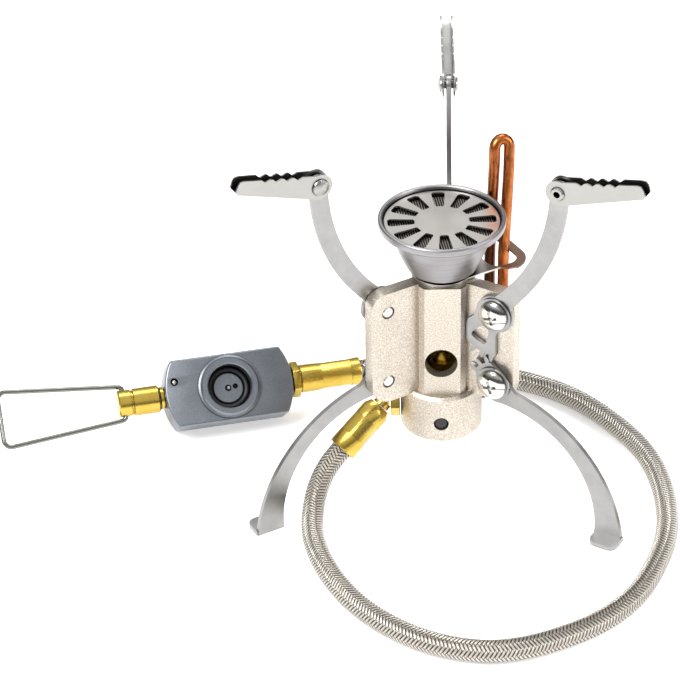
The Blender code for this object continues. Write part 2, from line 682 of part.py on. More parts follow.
def pivot_screw_mesh(parent):
    """Truss-head cross-recess screw about Z, its head on the positive side."""
    washer_top = PLATE_OFFSET + PLATE_THICK / 2 + GAP + 0.6
    seat = washer_top + 0.2
    profile = [(0, seat + 2.3)]
    profile += [(SCREW_HEAD_R * math.sin(a), seat + 0.5 + 1.8 * math.cos(a)) for a in
                (math.radians(26 * i) for i in range(1, 4))]
    profile += [(SCREW_HEAD_R, seat), (SCREW_R, seat),
                (SCREW_R, -WING_THICK / 2 + 0.35), (SCREW_R - 0.3, -WING_THICK / 2 + 0.05),
                (0, -WING_THICK / 2 + 0.05)]
    screw = add("pivot_screw_pattern", turned_mesh("pivot_screw", profile, 16), "chrome_screw", parent)
    for turn in (15, 105):
        blade = bmesh.new()
        bmesh.ops.create_cube(blade, size=1.0)
        bmesh.ops.scale(blade, verts=blade.verts, vec=(4.6 * MM, 1.0 * MM, 2.4 * MM))
        bmesh.ops.translate(blade, verts=blade.verts, vec=(0, 0, (seat + 2.3) * MM))
        mesh = bpy.data.meshes.new("cross_recess")
        blade.to_mesh(mesh)
        blade.free()
        boolean(screw, mesh, "DIFFERENCE", Matrix.Rotation(math.radians(turn), 4, "Z"))
    settle(screw)
    mesh = screw.data
    bpy.data.objects.remove(screw, do_unlink=True)
    return mesh


def washer_mesh():
    low = PLATE_OFFSET + PLATE_THICK / 2 + GAP
    profile = [(SCREW_HOLE_R, low + 0.5), (WASHER_R, low + 0.5), (WASHER_R, low), (SCREW_HOLE_R, low)]
    return turned_mesh("pivot_washer", profile, 20, closed=True)


def rivet_mesh():
    """Hollow rivet through a pot support and its arm: open end on one side, dome on the other."""
    half = SUPPORT_GAP / 2 + SUPPORT_WALL
    top, bottom = PLATE_OFFSET + half + GAP * 0.7, PLATE_OFFSET - half - GAP * 0.7
    profile = [(1.1, top + 0.6), (1.9, top + 0.6), (2.3, top), (RIVET_R, top), (RIVET_R, bottom),
               (2.8, bottom), (2.6, bottom - 0.5), (1.2, bottom - 1.1), (0, bottom - 1.1),
               (0, bottom + 0.8), (1.1, bottom + 0.8)]
    return turned_mesh("support_rivet", profile, 12, closed=True)


def build_folding_parts(stove):
    """Three wings' worth of arms, legs and pot supports; the wings share one set of meshes."""
    pivot = shifted([SUPPORT_PIVOT], UPPER_PIVOT)[0]
    shared = {}
    for number, angle in enumerate(WING_ANGLES, 1):
        plane = empty(f"wing_plane_{number}", (0, 0, 0), (90, 0, angle), stove)
        arm_hinge = empty(f"arm_hinge_{number}", (*UPPER_PIVOT, 0), parent=plane)
        leg_hinge = empty(f"leg_hinge_{number}", (*LOWER_PIVOT, 0), parent=plane)
        support_hinge = empty(f"support_hinge_{number}", (*pivot, 0), parent=arm_hinge)
        if not shared:
            shared["screw"] = pivot_screw_mesh(plane)
            shared["washer"] = washer_mesh()
            shared["rivet"] = rivet_mesh()
            shared["arm"] = settle(add("arm_1", arm_mesh(), "satin_steel", arm_hinge)).data
            shared["leg"] = build_leg("leg_1", leg_hinge).data
            shared["support"] = build_support("pot_support_1", support_hinge).data
        else:
            add(f"arm_{number}", shared["arm"], "satin_steel", arm_hinge)
            add(f"leg_{number}", shared["leg"], "satin_steel", leg_hinge)
            add(f"pot_support_{number}", shared["support"], "bright_stainless", support_hinge)
        for level, pivot_point in (("upper", UPPER_PIVOT), ("lower", LOWER_PIVOT)):
            for kind, finish in (("screw", "chrome_screw"), ("washer", "satin_steel")):
                piece = add(f"{level}_{kind}_{number}", shared[kind], finish, plane)
                piece.location = Vector((*pivot_point, 0)) * MM
        rivet = add(f"support_rivet_{number}", shared["rivet"], "bright_stainless", arm_hinge)
        rivet.location = Vector((*pivot, 0)) * MM
    for mesh in (shared["washer"], shared["rivet"]):
        mesh.shade_smooth()
        mesh.set_sharp_from_angle(angle=math.radians(35))


# ---------------------------------------------------------------- inlet, hose and ferrules

def heading_matrix(start, direction):
    """Matrix at a point in millimetres whose local Z runs along direction."""
    turn = Vector(direction).to_track_quat("Z", "Y").to_matrix().to_4x4()
    return Matrix.Translation(Vector(start) * MM) @ turn


def hex_nut_mesh(name, across_flats, length, turn=0.0):
    corner = across_flats / math.sqrt(3)
    return prism_mesh(name, corner, 0, length, 6, turn)


def stove_fitting_points():
    """Start of the elbow, start of the ferrule and the direction in which the ferrule points."""
    hose_end = Vector(STOVE_HOSE_END)
    elbow = Vector((-BASE_R - INLET_NUT - 2 * GAP, INLET_Y, INLET_Z))
    start = Vector((-19.2, 0.9, 28.5))
    return elbow, start, (hose_end - start).normalized()


def build_inlet(stove):
    nut = bevelled(hex_nut_mesh("inlet_hex_nut", INLET_HEX, INLET_NUT, 30), 0.3)
    piece = add("inlet_hex_nut", nut, "yellow_brass", stove)
    piece.matrix_local = heading_matrix((-BASE_R - GAP, INLET_Y, INLET_Z), (-1, 0, 0))
    settle(piece)
    elbow, start, direction = stove_fitting_points()
    leave = start - direction * 1.2
    bend = [elbow, elbow + Vector((-0.8, 0, 0)), leave - direction * 0.8, leave]
    path = [bezier(bend, t) for t in (0.0, 0.2, 0.4, 0.6, 0.8, 1.0)] + [start + direction * 0.8]
    settle(add("inlet_elbow", wire_mesh("inlet_elbow", path, ELBOW_R, 3), "yellow_brass", stove), 50)


def crimp(ferrule, across_flats, first, last):
    """Press six flats into a ferrule between two distances along it."""
    hexagon = circle((0, 0), across_flats / math.sqrt(3), 6)
    ring = plate_mesh("crimp_ring", [circle((0, 0), CRIMP_RING_R, 18), hexagon], last - first,
                      (first + last) / 2)
    boolean(ferrule, ring, "DIFFERENCE", ferrule.matrix_local)


def build_stove_ferrule(stove):
    _, start, direction = stove_fitting_points()
    length = (Vector(STOVE_HOSE_END) - start).length - 1.1
    profile = [(0, length - HOSE_RECESS), (HOSE_BORE_R, length - HOSE_RECESS), (HOSE_BORE_R, length),
               (4.55, length), (4.75, length - 0.3), (4.75, 2.2), (3.9, 0.6), (3.6, 0), (0, 0)]
    ferrule = add("stove_ferrule", turned_mesh("stove_ferrule", profile, 24), "yellow_brass", stove)
    ferrule.matrix_local = heading_matrix(start + direction * 1.1, direction)
    crimp(ferrule, 8.7, 6.0, 13.2)
    settle(ferrule)


def smooth_route(route, spacing):
    """Even points along the natural cubic spline through the route's points."""
    route = np.array(route, float)
    chord = np.concatenate([[0], np.cumsum(np.linalg.norm(np.diff(route, axis=0), axis=1))])
    steps = np.diff(chord)
    count = len(route)
    system = np.eye(count)
    right = np.zeros((count, 3))
    for i in range(1, count - 1):
        system[i, i - 1:i + 2] = steps[i - 1], 2 * (steps[i - 1] + steps[i]), steps[i]
        slopes = (route[i + 1] - route[i]) / steps[i] - (route[i] - route[i - 1]) / steps[i - 1]
        right[i] = 6 * slopes
    bend = np.linalg.solve(system, right)
    fine = []
    for i, step in enumerate(steps):
        for run in np.linspace(0, step, 20, endpoint=i == count - 2):
            rest = step - run
            fine.append((bend[i] * rest ** 3 + bend[i + 1] * run ** 3) / (6 * step)
                        + (route[i] / step - bend[i] * step / 6) * rest
                        + (route[i + 1] / step - bend[i + 1] * step / 6) * run)
    fine = np.array(fine)
    length = np.concatenate([[0], np.cumsum(np.linalg.norm(np.diff(fine, axis=0), axis=1))])
    even = np.linspace(0, length[-1], max(2, round(length[-1] / spacing)) + 1)
    return np.column_stack([np.interp(even, length, fine[:, axis]) for axis in range(3)])


def build_hose(stove):
    _, _, direction = stove_fitting_points()
    first = Vector(STOVE_HOSE_END) - direction * (HOSE_RECESS - GAP)
    turn = Euler([math.radians(a) for a in (ADAPTER_LEAN, ADAPTER_PITCH, ADAPTER_HEADING)])
    adapter_axis = turn.to_matrix() @ Vector((1, 0, 0))
    last = Vector(ADAPTER) + adapter_axis * (ADAPTER_HOSE_END - HOSE_RECESS + GAP)
    route = [tuple(first), *HOSE_ROUTE, tuple(last)]
    hose = wire_mesh("braided_hose", [Vector(p) for p in smooth_route(route, HOSE_SPACING)], HOSE_R, 3)
    settle(add("braided_hose", hose, "braided_wire", stove), 60)


# ---------------------------------------------------------------- canister adapter

ADAPTER_FERRULE_START = ADAPTER_R + 3.0
ADAPTER_HOSE_END = ADAPTER_FERRULE_START + 20.9


def build_adapter_body(adapter):
    corner = math.degrees(math.asin(ADAPTER_FLAT / ADAPTER_R))
    outline = arc((0, 0), ADAPTER_R, -corner, corner, 8)
    outline += arc((0, 0), ADAPTER_R, 180 - corner, 180 + corner, 8)
    disc = bevelled(plate_mesh("adapter_body", [outline], ADAPTER_THICK), 0.7)
    body = add("adapter_body", disc, "anodised_blue_grey", adapter)
    face = ADAPTER_THICK / 2
    rim = face + BOSS_HEIGHT
    boss = [(0, rim), (BOSS_R - 1.3, rim), (BOSS_R - 0.9, rim - 0.4), (BOSS_R - 0.6, face + 1.0),
            (BOSS_R, face + 0.7), (BOSS_R, face - 1), (0, face - 1)]
    boolean(body, turned_mesh("boss", boss, 28), "UNION")
    floor = rim - SOCKET_DEPTH - CORE_HEIGHT
    socket = [(0, rim + 0.8), (SOCKET_R + 1.2, rim + 0.8), (SOCKET_R, rim - 0.4), (SOCKET_R, floor),
              (0, floor)]
    boolean(body, turned_mesh("socket", socket, 28), "DIFFERENCE")
    boolean(body, prism_mesh("pin_hole", 1.3, face - 2.2, face + 1, 12), "DIFFERENCE",
            Matrix.Translation(Vector(STOP_PIN) * MM))
    for side in (-1, 1):
        port = prism_mesh("port", 3.4, ADAPTER_R - 2.4, ADAPTER_R + 2, 16)
        boolean(body, port, "DIFFERENCE", Matrix.Rotation(math.radians(90 * side), 4, "Y"))
    settle(body)


def build_adapter_inside(adapter):
    """Black sealing ring, valve core and depressor pin in the socket, and the stop pin beside it."""
    floor = ADAPTER_THICK / 2 + BOSS_HEIGHT - SOCKET_DEPTH - CORE_HEIGHT
    top = floor + CORE_HEIGHT
    core = [(0, top), (CORE_R - 0.3, top), (CORE_R, top - 0.3), (CORE_R, floor + GAP), (0, floor + GAP)]
    disc = add("valve_core", turned_mesh("valve_core", core, 24), "anodised_blue_grey", adapter)
    boolean(disc, prism_mesh("pin_hole", 1.1, floor - 1, floor + 4, 10), "DIFFERENCE")
    side_hole = Matrix.Translation((2.4 * MM, 0.3 * MM, 0))
    boolean(disc, prism_mesh("gas_hole", 0.9, floor - 1, floor + 4, 10), "DIFFERENCE", side_hole)
    settle(disc)
    pin = [(0, floor + 3.2), (0.45, floor + 3.15), (0.75, floor + 2.8), (0.75, floor + GAP), (0, floor + GAP)]
    settle(add("depressor_pin", turned_mesh("depressor_pin", pin, 10), "chrome_screw", adapter))
    section = circle((CORE_R + 1.1, floor + 1.75), 0.8, 6)[::-1]
    seal = turned_mesh("adapter_seal", section, 24, closed=True)
    settle(add("adapter_seal", seal, "black_rubber", adapter), 60)
    face = ADAPTER_THICK / 2
    stop = [(0, face - 0.1), (0.5, face - 0.2), (0.8, face - 0.5), (0.8, face - 1.9), (0, face - 1.9)]
    pin = add("stop_pin", turned_mesh("stop_pin", stop, 10), "chrome_screw", adapter)
    pin.location = Vector(STOP_PIN) * MM
    settle(pin)


def build_adapter_outlet(adapter):
    """Brass nut on the adapter's right end and the ferrule that holds the hose in it."""
    nut = bevelled(hex_nut_mesh("adapter_hex_nut", 10.5, 2.6, 10), 0.3)
    nut.transform(Matrix.Translation((0, 0, (ADAPTER_R + GAP) * MM)))
    piece = add("adapter_hex_nut", nut, "yellow_brass", adapter)
    piece.matrix_local = along_x(0, 0, 0)
    stem_start, stem_end = ADAPTER_R - 1.8, ADAPTER_FERRULE_START - GAP
    stem = [(0, stem_end), (3.0, stem_end), (3.0, stem_start), (0, stem_start)]
    boolean(piece, turned_mesh("nut_stem", stem, 16), "UNION", along_x(0, 0, 0))
    settle(piece)
    length = ADAPTER_HOSE_END - ADAPTER_FERRULE_START
    profile = [(0, length - HOSE_RECESS), (HOSE_BORE_R, length - HOSE_RECESS), (HOSE_BORE_R, length),
               (4.6, length), (4.75, length - 0.4), (4.55, length - 2.4), (4.5, 7.6), (4.7, 4.6), (4.7, 0.4),
               (4.4, 0), (0, 0)]
    ferrule = add("adapter_ferrule", turned_mesh("adapter_ferrule", profile, 24), "yellow_brass", adapter)
    ferrule.matrix_local = along_x(ADAPTER_FERRULE_START, 0, 0)
    crimp(ferrule, 8.35, 7.4, 17.7)
    settle(ferrule)


def build_valve(adapter):
    """Valve collar, knob and wire bail on the adapter's left, all about the adapter's X axis."""
    start = ADAPTER_R + GAP
    collar = [(0, start + 1.1), (3.6, start + 1.1), (3.8, start + 0.9), (3.8, start), (3.0, start),
              (3.0, ADAPTER_R - 2.0), (0, ADAPTER_R - 2.0)]
    turned = add("valve_collar", turned_mesh("valve_collar", collar, 18), "yellow_brass", adapter)
    turned.matrix_local = Matrix.Rotation(math.radians(-90), 4, "Y")
    settle(turned)
    knob_axis = empty("knob_axis", (0, 0, 0), parent=adapter)
    near, far = -KNOB_START, -KNOB_END
    groove = far - 4.7
    knob = [(0, far), (KNOB_R - 0.5, far), (KNOB_R - 0.1, far - 0.4), (KNOB_R - 0.1, groove + 0.5),
            (KNOB_R - 0.5, groove + 0.2), (KNOB_R - 0.5, groove - 0.2), (KNOB_R, groove - 0.5),
            (KNOB_R, near + 0.4), (KNOB_R - 0.4, near), (0, near)]
    turned = add("valve_knob", turned_mesh("valve_knob", knob, 24), "yellow_brass", knob_axis)
    turned.matrix_local = Matrix.Rotation(math.radians(-90), 4, "Y")
    boolean(turned, prism_mesh("bail_hole", BAIL_R + GAP, -8, 8, 12), "DIFFERENCE", along_y(BAIL_X, 0, 0))
    settle(turned)
    bail_hinge = empty("bail_hinge", (BAIL_X, 0, 0), parent=knob_axis)
    far_x = BAIL_FAR - BAIL_X
    half = [(0, 2.6), (0, 4.3), (-0.25, 5.0), (-0.8, 5.5), (-1.8, 5.75), (far_x + 3.4, 9.15)]
    half += arc((far_x + 2.9, 6.7), 2.5, 86, 180, 5)
    path = half + [(x, -y) for x, y in reversed(half)]
    wire = wire_mesh("wire_bail", [(x, y, 0) for x, y in path], BAIL_R, 2)
    settle(add("wire_bail", wire, "spring_wire", bail_hinge), 60)


def build():
    stove = empty("burner_axis", (STOVE_X, STOVE_Y, 0))
    build_body(stove)
    build_set_screw(stove)
    build_jet(stove)
    build_cup(stove)
    build_grille(stove)
    build_gauze(stove)
    build_bracket(stove)
    build_preheat_tube(stove)
    build_folding_parts(stove)
    build_inlet(stove)
    build_stove_ferrule(stove)
    build_hose(stove)
    adapter = empty("adapter_middle", ADAPTER, (ADAPTER_LEAN, ADAPTER_PITCH, ADAPTER_HEADING), stove)
    build_adapter_body(adapter)
    build_adapter_inside(adapter)
    build_adapter_outlet(adapter)
    build_valve(adapter)


build()
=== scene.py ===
"""Looks of a remote-canister camping stove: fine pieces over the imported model, finishes and studio.

Lengths are millimetres unless a comment says metres.  The stove is drawn about its burner axis, which
STOVE_X and STOVE_Y place in the model's frame.  Each wing of the body has its own plane: local X runs
outwards, local Y up, and local Z is the axis of the hinges on that wing.
"""

import json
import math

import bmesh
import bpy
import numpy as np
from mathutils import Euler, Matrix, Vector

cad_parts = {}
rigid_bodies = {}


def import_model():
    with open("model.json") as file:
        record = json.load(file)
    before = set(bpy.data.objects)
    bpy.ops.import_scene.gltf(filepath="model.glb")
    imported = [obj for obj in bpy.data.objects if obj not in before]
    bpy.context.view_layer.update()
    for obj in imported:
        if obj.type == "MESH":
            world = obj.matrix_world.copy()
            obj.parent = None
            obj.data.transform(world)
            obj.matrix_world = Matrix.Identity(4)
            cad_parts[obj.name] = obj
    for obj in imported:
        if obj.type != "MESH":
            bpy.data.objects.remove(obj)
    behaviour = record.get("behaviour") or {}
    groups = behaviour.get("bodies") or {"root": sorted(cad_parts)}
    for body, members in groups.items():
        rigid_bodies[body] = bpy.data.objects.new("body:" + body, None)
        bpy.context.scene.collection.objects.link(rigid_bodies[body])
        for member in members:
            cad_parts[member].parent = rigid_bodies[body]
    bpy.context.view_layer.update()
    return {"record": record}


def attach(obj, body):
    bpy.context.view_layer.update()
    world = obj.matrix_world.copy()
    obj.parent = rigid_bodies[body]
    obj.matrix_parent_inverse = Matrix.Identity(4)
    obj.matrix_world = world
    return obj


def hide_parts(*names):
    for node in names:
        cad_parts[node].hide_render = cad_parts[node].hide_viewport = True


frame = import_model()
BODY_OF = {node: body for body, nodes in frame["record"]["behaviour"]["bodies"].items() for node in nodes}
SLOT_OF = {row["node"]: row["material_slot"] for row in frame["record"]["subparts"]}

MM = 0.001
GAP = 0.3

# Vertices closer than this are one.
WELD = 0.004

# Place of the burner axis, which centres the stove's own box on the origin.
STOVE_X = 1.65
STOVE_Y = -15.55

# Body casting.  The air hole and the set screw sit a little to the left, at FRONT_X.
BASE_R = 13.1
BASE_BOTTOM = 22.8
BASE_TOP = 39.5
COLUMN_R = 9.5
BODY_TOP = 79.4
BORE_R = 6.9
BORE_BOTTOM = 43.0
STRIP_HALF = 5.4
STRIP_FRONT = 10.2
STRIP_SIDE = 7.4
AIR_HOLE_R = 5.2
AIR_HOLE_Z = 51.4
SET_SCREW_R = 2.1
SET_SCREW_Z = 29.9
FRONT_X = -0.4
JET_SEAT_R = 2.6
WING_ANGLES = (-30.0, 210.0, 90.0)
WING_R = 26.8
WING_BOTTOM = 38.6
WING_THICK = 4.5
WING_BEVEL = 0.45

# Burner.
CUP_FOOT_R = 8.65
CUP_FOOT_Z = 80.4
CUP_WALL_START = (11.0, 82.2)
CUP_RIM_R = 20.0
CUP_RIM_Z = 99.7
CUP_WALL = 1.0
CUP_STEM_R = 6.5
CUP_STEM_BORE_R = 5.3
CUP_STEM_END = 66.0
GRILLE_R = 18.0
GRILLE_Z = 97.9
GRILLE_THICK = 0.6
SLOT_COUNT = 12
SLOT_START = 3.0
GAUZE_R = 16.5

# Plate that clamps round the neck and steadies the preheat tube.
BRACKET_Z = 79.6
BRACKET_THICK = 0.6
BRACKET_AZIMUTH = 30.0
BRACKET_RING_R = 9.2

# Preheat tube.
TUBE_R = 1.8
TUBE_SOCKET_R = 2.15
TUBE_SOCKET_DEPTH = 10.6
TUBE_INNER_LEG = {"azimuth": 41.1, "reach": 20.7, "socket_z": 32.6, "bend": 5.5}
TUBE_OUTER_LEG = {"azimuth": 26.4, "reach": 22.0, "socket_z": 28.2, "bend": 6.5}

# Folding arms and legs, in a wing's plane (distance from the burner axis, height).
UPPER_PIVOT = (20.9, 72.3)
LOWER_PIVOT = (20.9, 46.3)
SUPPORT_PIVOT = (42.2, 123.0)
PLATE_THICK = 1.5
PLATE_OFFSET = 3.25
ARM_ARC_CENTRE = (-24.0, 122.85)
ARM_INNER_R = 62.9
ARM_OUTER_R = 68.9
ARM_BOSS_R = 6.4
LEG_OUTER_CENTRE = (16.3, -5.0)
LEG_OUTER_R = 50.9
LEG_INNER_CENTRE = (21.5, 3.2)
LEG_INNER_R = 36.1
LEG_BOSS_R = 6.2
FOOT_INNER = 58.0
FOOT_OUTER = 67.3
FOOT_REACH = 10.0
FOOT_CORNER_R = 2.6
SCREW_R = 1.9
SCREW_HOLE_R = 2.2
SCREW_HEAD_R = 4.9
WASHER_R = 5.8

# Gear teeth cut on the arms' and legs' ends.
ARM_TEETH = 32
LEG_TEETH = 16
GEAR_MODULE = (UPPER_PIVOT[1] - LOWER_PIVOT[1]) * 2 / (ARM_TEETH + LEG_TEETH)
PRESSURE_ANGLE = math.radians(20)
BACKLASH = 0.34
LEG_TOOTH_ANGLES = (109.0, 131.5, 154.0)

# Pot supports.
SUPPORT_GAP = 3.0
SUPPORT_WALL = 0.55
SUPPORT_END_R = 4.2
SUPPORT_LENGTH = 29.2
SUPPORT_SLOPE = 20.5
SUPPORT_TIP = 4.6
SUPPORT_WEB_START = 5.2
NOTCH_PITCH = 3.8
NOTCH_DEPTH = 0.9
NOTCH_COUNT = 4
NOTCH_START = 7.6
NOTCH_HALF = 1.5
RIVET_R = 1.5

# Gas inlet on the stove.
INLET_Y = 1.75
INLET_Z = 29.6
INLET_NUT = 3.0
ELBOW_R = 2.9
INLET_HEX = 9.4
STOVE_FERRULE_START = (-19.2, 0.9, 28.5)
FERRULE_LEAD = 1.1
STOVE_HOSE_END = (-32.4, -8.2, 17.1)

# Hose.
HOSE_R = 3.5
HOSE_RECESS = 3.0
HOSE_BORE_R = 4.0
HOSE_SPACING = 1.0
HOSE_SIDES = 48
CRIMP_RING_R = 9.0
HOSE_ROUTE = (
    (-32.4, -8.2, 17.1), (-36.0, -11.0, 13.8), (-38.9, -14.7, 10.4), (-40.8, -19.5, 7.4),
    (-41.8, -25.4, 5.1), (-42.0, -32.1, 3.9), (-40.4, -43.4, 3.6), (-37.0, -54.2, 3.6),
    (-32.1, -64.5, 3.6), (-25.7, -73.9, 3.6), (-17.7, -82.0, 3.6), (-8.4, -88.6, 3.6),
    (2.1, -92.9, 3.6), (13.3, -94.5, 3.6), (24.5, -92.5, 3.6), (35.0, -88.1, 3.6),
    (44.8, -82.3, 3.6), (53.3, -74.7, 3.6), (60.0, -65.6, 3.6), (64.9, -55.3, 3.6),
    (68.7, -44.6, 3.6), (71.0, -33.4, 3.6), (71.6, -22.1, 3.6), (70.9, -10.7, 3.6),
    (68.8, 0.5, 3.6), (64.9, 11.2, 3.6), (59.3, 21.0, 3.6), (52.7, 30.3, 3.6),
    (45.0, 38.5, 3.6), (35.6, 45.2, 3.6), (25.2, 49.6, 3.9), (14.1, 51.5, 5.4),
    (3.2, 51.1, 8.0), (-7.5, 49.0, 10.6), (-18.1, 46.0, 12.2), (-25.0, 43.6, 12.5),
)

# Canister adapter: its middle, then the lean of its face and the pitch and heading of its long axis.
ADAPTER = (-70.7, 32.4, 13.1)
ADAPTER_TURNS = (48.0, 0.7, 13.6)
ADAPTER_R = 21.6
ADAPTER_FLAT = 11.3
ADAPTER_THICK = 12.0
BOSS_R = 10.5
BOSS_HEIGHT = 2.0
SOCKET_R = 7.35
SOCKET_DEPTH = 5.2
CORE_R = 5.1
CORE_HEIGHT = 2.2
SOCKET_FLOOR = ADAPTER_THICK / 2 + BOSS_HEIGHT - SOCKET_DEPTH - CORE_HEIGHT
ADAPTER_FERRULE_START = ADAPTER_R + 3.0
ADAPTER_HOSE_END = ADAPTER_FERRULE_START + 20.9
STOP_PIN = (-18.1, 4.0, 0.0)
KNOB_R = 4.6
KNOB_START = -23.3
KNOB_END = -37.1
BAIL_X = -34.9
BAIL_FAR = -76.6
BAIL_R = 0.8

# Gauze ribs, and the squares of the grid that they are drawn on.
RIB_PITCH = 0.75
RIB_DEPTH = 0.28
RIB_LEAN = math.radians(8)
GAUZE_CELLS = 240

# Braid: strand columns round the hose, strands along one circumference of its length, wires in a strand.
BRAID_COLUMNS = 10.0
BRAID_ROWS = 18.0
WIRES_IN_STRAND = 4.0

# Where painted marks lie in the model's frame: a painted brown reflection of the copper tube on the bracket
# below
# COPPER_REFLECTION_TOP, and painted shade on the tube to the left of CUP_SHADE_SIDE.  The back arm's support
# starts at REAR_START; painted shade on it stays light.
COPPER_REFLECTION_TOP = 88.0
CUP_SHADE_SIDE = 19.5
REAR_START = 12.0

# Camera, in degrees, millimetres from the burner axis and metres.
CAMERA_ELEVATION = 33.96
CAMERA_AZIMUTH = 0.59
CAMERA_ROLL = -1.1
CAMERA_TARGET = (-32.33, 0.0, 54.06)
CAMERA_DISTANCE = 1.0
CAMERA_LENS = 166.3

# Studio, in metres.
LIGHT_TARGET = (0, 0, 0.06)
FLOOR_HALF = 1.2
FLOOR_Z = -0.0002
FLOOR_GLOW = 0.42
WORLD_STRENGTH = 0.9

# Rounds get this many times the steps of a plain solid, and sheet edges this bevel.
FINE = 4
EDGE = 0.18


# ---- helpers

def new_collection(name):
    collection = bpy.data.collections.new(name)
    bpy.context.scene.collection.children.link(collection)
    return collection


PIECES = new_collection("stove_pieces")
CUTTERS = new_collection("cutters")


def at(x, y, z):
    """Matrix that moves to a point in millimetres."""
    return Matrix.Translation(Vector((x, y, z)) * MM)


def turn(angle, axis):
    return Matrix.Rotation(math.radians(angle), 4, axis)


def along_x(x, y, z):
    """Matrix that turns local Z to +X, at a point in millimetres."""
    return at(x, y, z) @ turn(90, "Y")


def along_y(x, y, z):
    """Matrix that turns local Z to -Y, at a point in millimetres."""
    return at(x, y, z) @ turn(90, "X")


def empty(location, rotation=(0, 0, 0), parent=None):
    """Add an empty; location is in millimetres and rotation in degrees, under its parent."""
    obj = bpy.data.objects.new("place", None)
    obj.location = Vector(location) * MM
    obj.rotation_euler = [math.radians(angle) for angle in rotation]
    obj.parent = parent
    PIECES.objects.link(obj)
    return obj


def add(name, mesh, parent, matrix=None):
    """Add the fine piece that stands for the node of this name."""
    obj = bpy.data.objects.new(f"fine_{name}", mesh)
    obj["node"] = name
    obj.parent = parent
    if matrix:
        obj.matrix_local = matrix
    PIECES.objects.link(obj)
    return obj


def evaluated_mesh(obj):
    bpy.context.view_layer.update()
    graph = bpy.context.evaluated_depsgraph_get()
    return bpy.data.meshes.new_from_object(obj.evaluated_get(graph))


def mesh_of(shape):
    """Mesh of a bmesh, which is then freed."""
    mesh = bpy.data.meshes.new("shape")
    shape.to_mesh(mesh)
    shape.free()
    return mesh


def weld(mesh):
    shape = bmesh.new()
    shape.from_mesh(mesh)
    bmesh.ops.remove_doubles(shape, verts=shape.verts, dist=WELD * MM)
    return mesh_of(shape)


def baked(data, modifier=None, **settings):
    """Mesh of a curve or of a mesh, after one modifier if its type is given."""
    holder = bpy.data.objects.new("holder", data)
    CUTTERS.objects.link(holder)
    if modifier:
        step = holder.modifiers.new("step", modifier)
        for key, value in settings.items():
            setattr(step, key, value)
    mesh = evaluated_mesh(holder)
    bpy.data.objects.remove(holder, do_unlink=True)
    return mesh


def settle(obj, angle=35.0):
    """Turn the object's modifiers into its mesh, and shade it smooth up to the given angle."""
    mesh = evaluated_mesh(obj)
    obj.modifiers.clear()
    obj.data = mesh
    mesh.shade_smooth()
    mesh.set_sharp_from_angle(angle=math.radians(angle))
    return obj


def polar(radius, angle):
    return radius * math.cos(math.radians(angle)), radius * math.sin(math.radians(angle))


def arc(centre, radius, start, end, steps):
    """Points on a circle from start to end, in degrees."""
    steps *= FINE
    spots = [polar(radius, start + (end - start) * i / steps) for i in range(steps + 1)]
    return [(centre[0] + x, centre[1] + y) for x, y in spots]


def circle(radius, steps):
    return arc((0, 0), radius, 0, 360, steps)[:-1]


def bezier(points, t):
    """Point at t on the Bezier curve of the given control points."""
    while len(points) > 1:
        points = [first.lerp(second, t) for first, second in zip(points, points[1:])]
    return points[0]


def shifted(point, origin):
    return point[0] - origin[0], point[1] - origin[1]


def add_spline(curve, places):
    spline = curve.splines.new("POLY")
    spline.points.add(len(places) - 1)
    for point, place in zip(spline.points, places):
        point.co = (*place, 1)
    return spline


def plate_mesh(outlines, thickness, offset=0.0):
    """Flat plate from 2D outlines, the first outside and the others holes, centred on offset."""
    curve = bpy.data.curves.new("plate", "CURVE")
    curve.dimensions = "2D"
    curve.fill_mode = "BOTH"
    curve.extrude = thickness / 2 * MM
    for outline in outlines:
        add_spline(curve, [(x * MM, y * MM, 0) for x, y in outline]).use_cyclic_u = True
    mesh = weld(baked(curve))
    mesh.transform(at(0, 0, offset))
    return mesh


def turned_mesh(profile, steps, closed=False):
    """Turn a profile of (radius, height) about Z; it runs down its outer side."""
    mesh = bpy.data.meshes.new("profile")
    edges = [(i, i + 1) for i in range(len(profile) - 1)]
    if closed:
        edges.append((len(profile) - 1, 0))
    mesh.from_pydata([(r * MM, 0, z * MM) for r, z in profile], edges, [])
    steps *= FINE
    return weld(baked(mesh, "SCREW", axis="Z", steps=steps, render_steps=steps, use_merge_vertices=True,
                      merge_threshold=0.00001))


def pin_profile(radius, top, bottom, chamfer=0.0):
    """Profile of a plain pin, with its top edge chamfered where a chamfer is given."""
    edge = [(radius - chamfer, top), (radius, top - chamfer)] if chamfer else [(radius, top)]
    return [(0, top), *edge, (radius, bottom), (0, bottom)]


def prism_mesh(radius, bottom, top, sides, angle=0.0):
    """Upright prism or cylinder about Z."""
    shape = bmesh.new()
    bmesh.ops.create_cone(shape, cap_ends=True, segments=sides * FINE if sides > 6 else sides,
                          radius1=radius * MM, radius2=radius * MM, depth=(top - bottom) * MM,
                          matrix=at(0, 0, (bottom + top) / 2) @ turn(angle, "Z"))
    return mesh_of(shape)


def wire_mesh(points, radius, resolution=2):
    """Round wire or tube along points."""
    curve = bpy.data.curves.new("wire", "CURVE")
    curve.dimensions = "3D"
    curve.bevel_depth = radius * MM
    curve.bevel_resolution = resolution
    curve.use_fill_caps = True
    add_spline(curve, [Vector(place) * MM for place in points])
    return weld(baked(curve))


def cut(obj, mesh, matrix=None, operation="DIFFERENCE"):
    """Cut a mesh out of obj; matrix places the mesh in obj's parent's space."""
    tool = bpy.data.objects.new("tool", mesh)
    CUTTERS.objects.link(tool)
    tool.parent = obj.parent
    tool.matrix_local = matrix or Matrix.Identity(4)
    step = obj.modifiers.new(operation.lower(), "BOOLEAN")
    step.operation = operation
    step.solver = "EXACT"
    step.object = tool


def join(obj, mesh, matrix=None):
    cut(obj, mesh, matrix, "UNION")


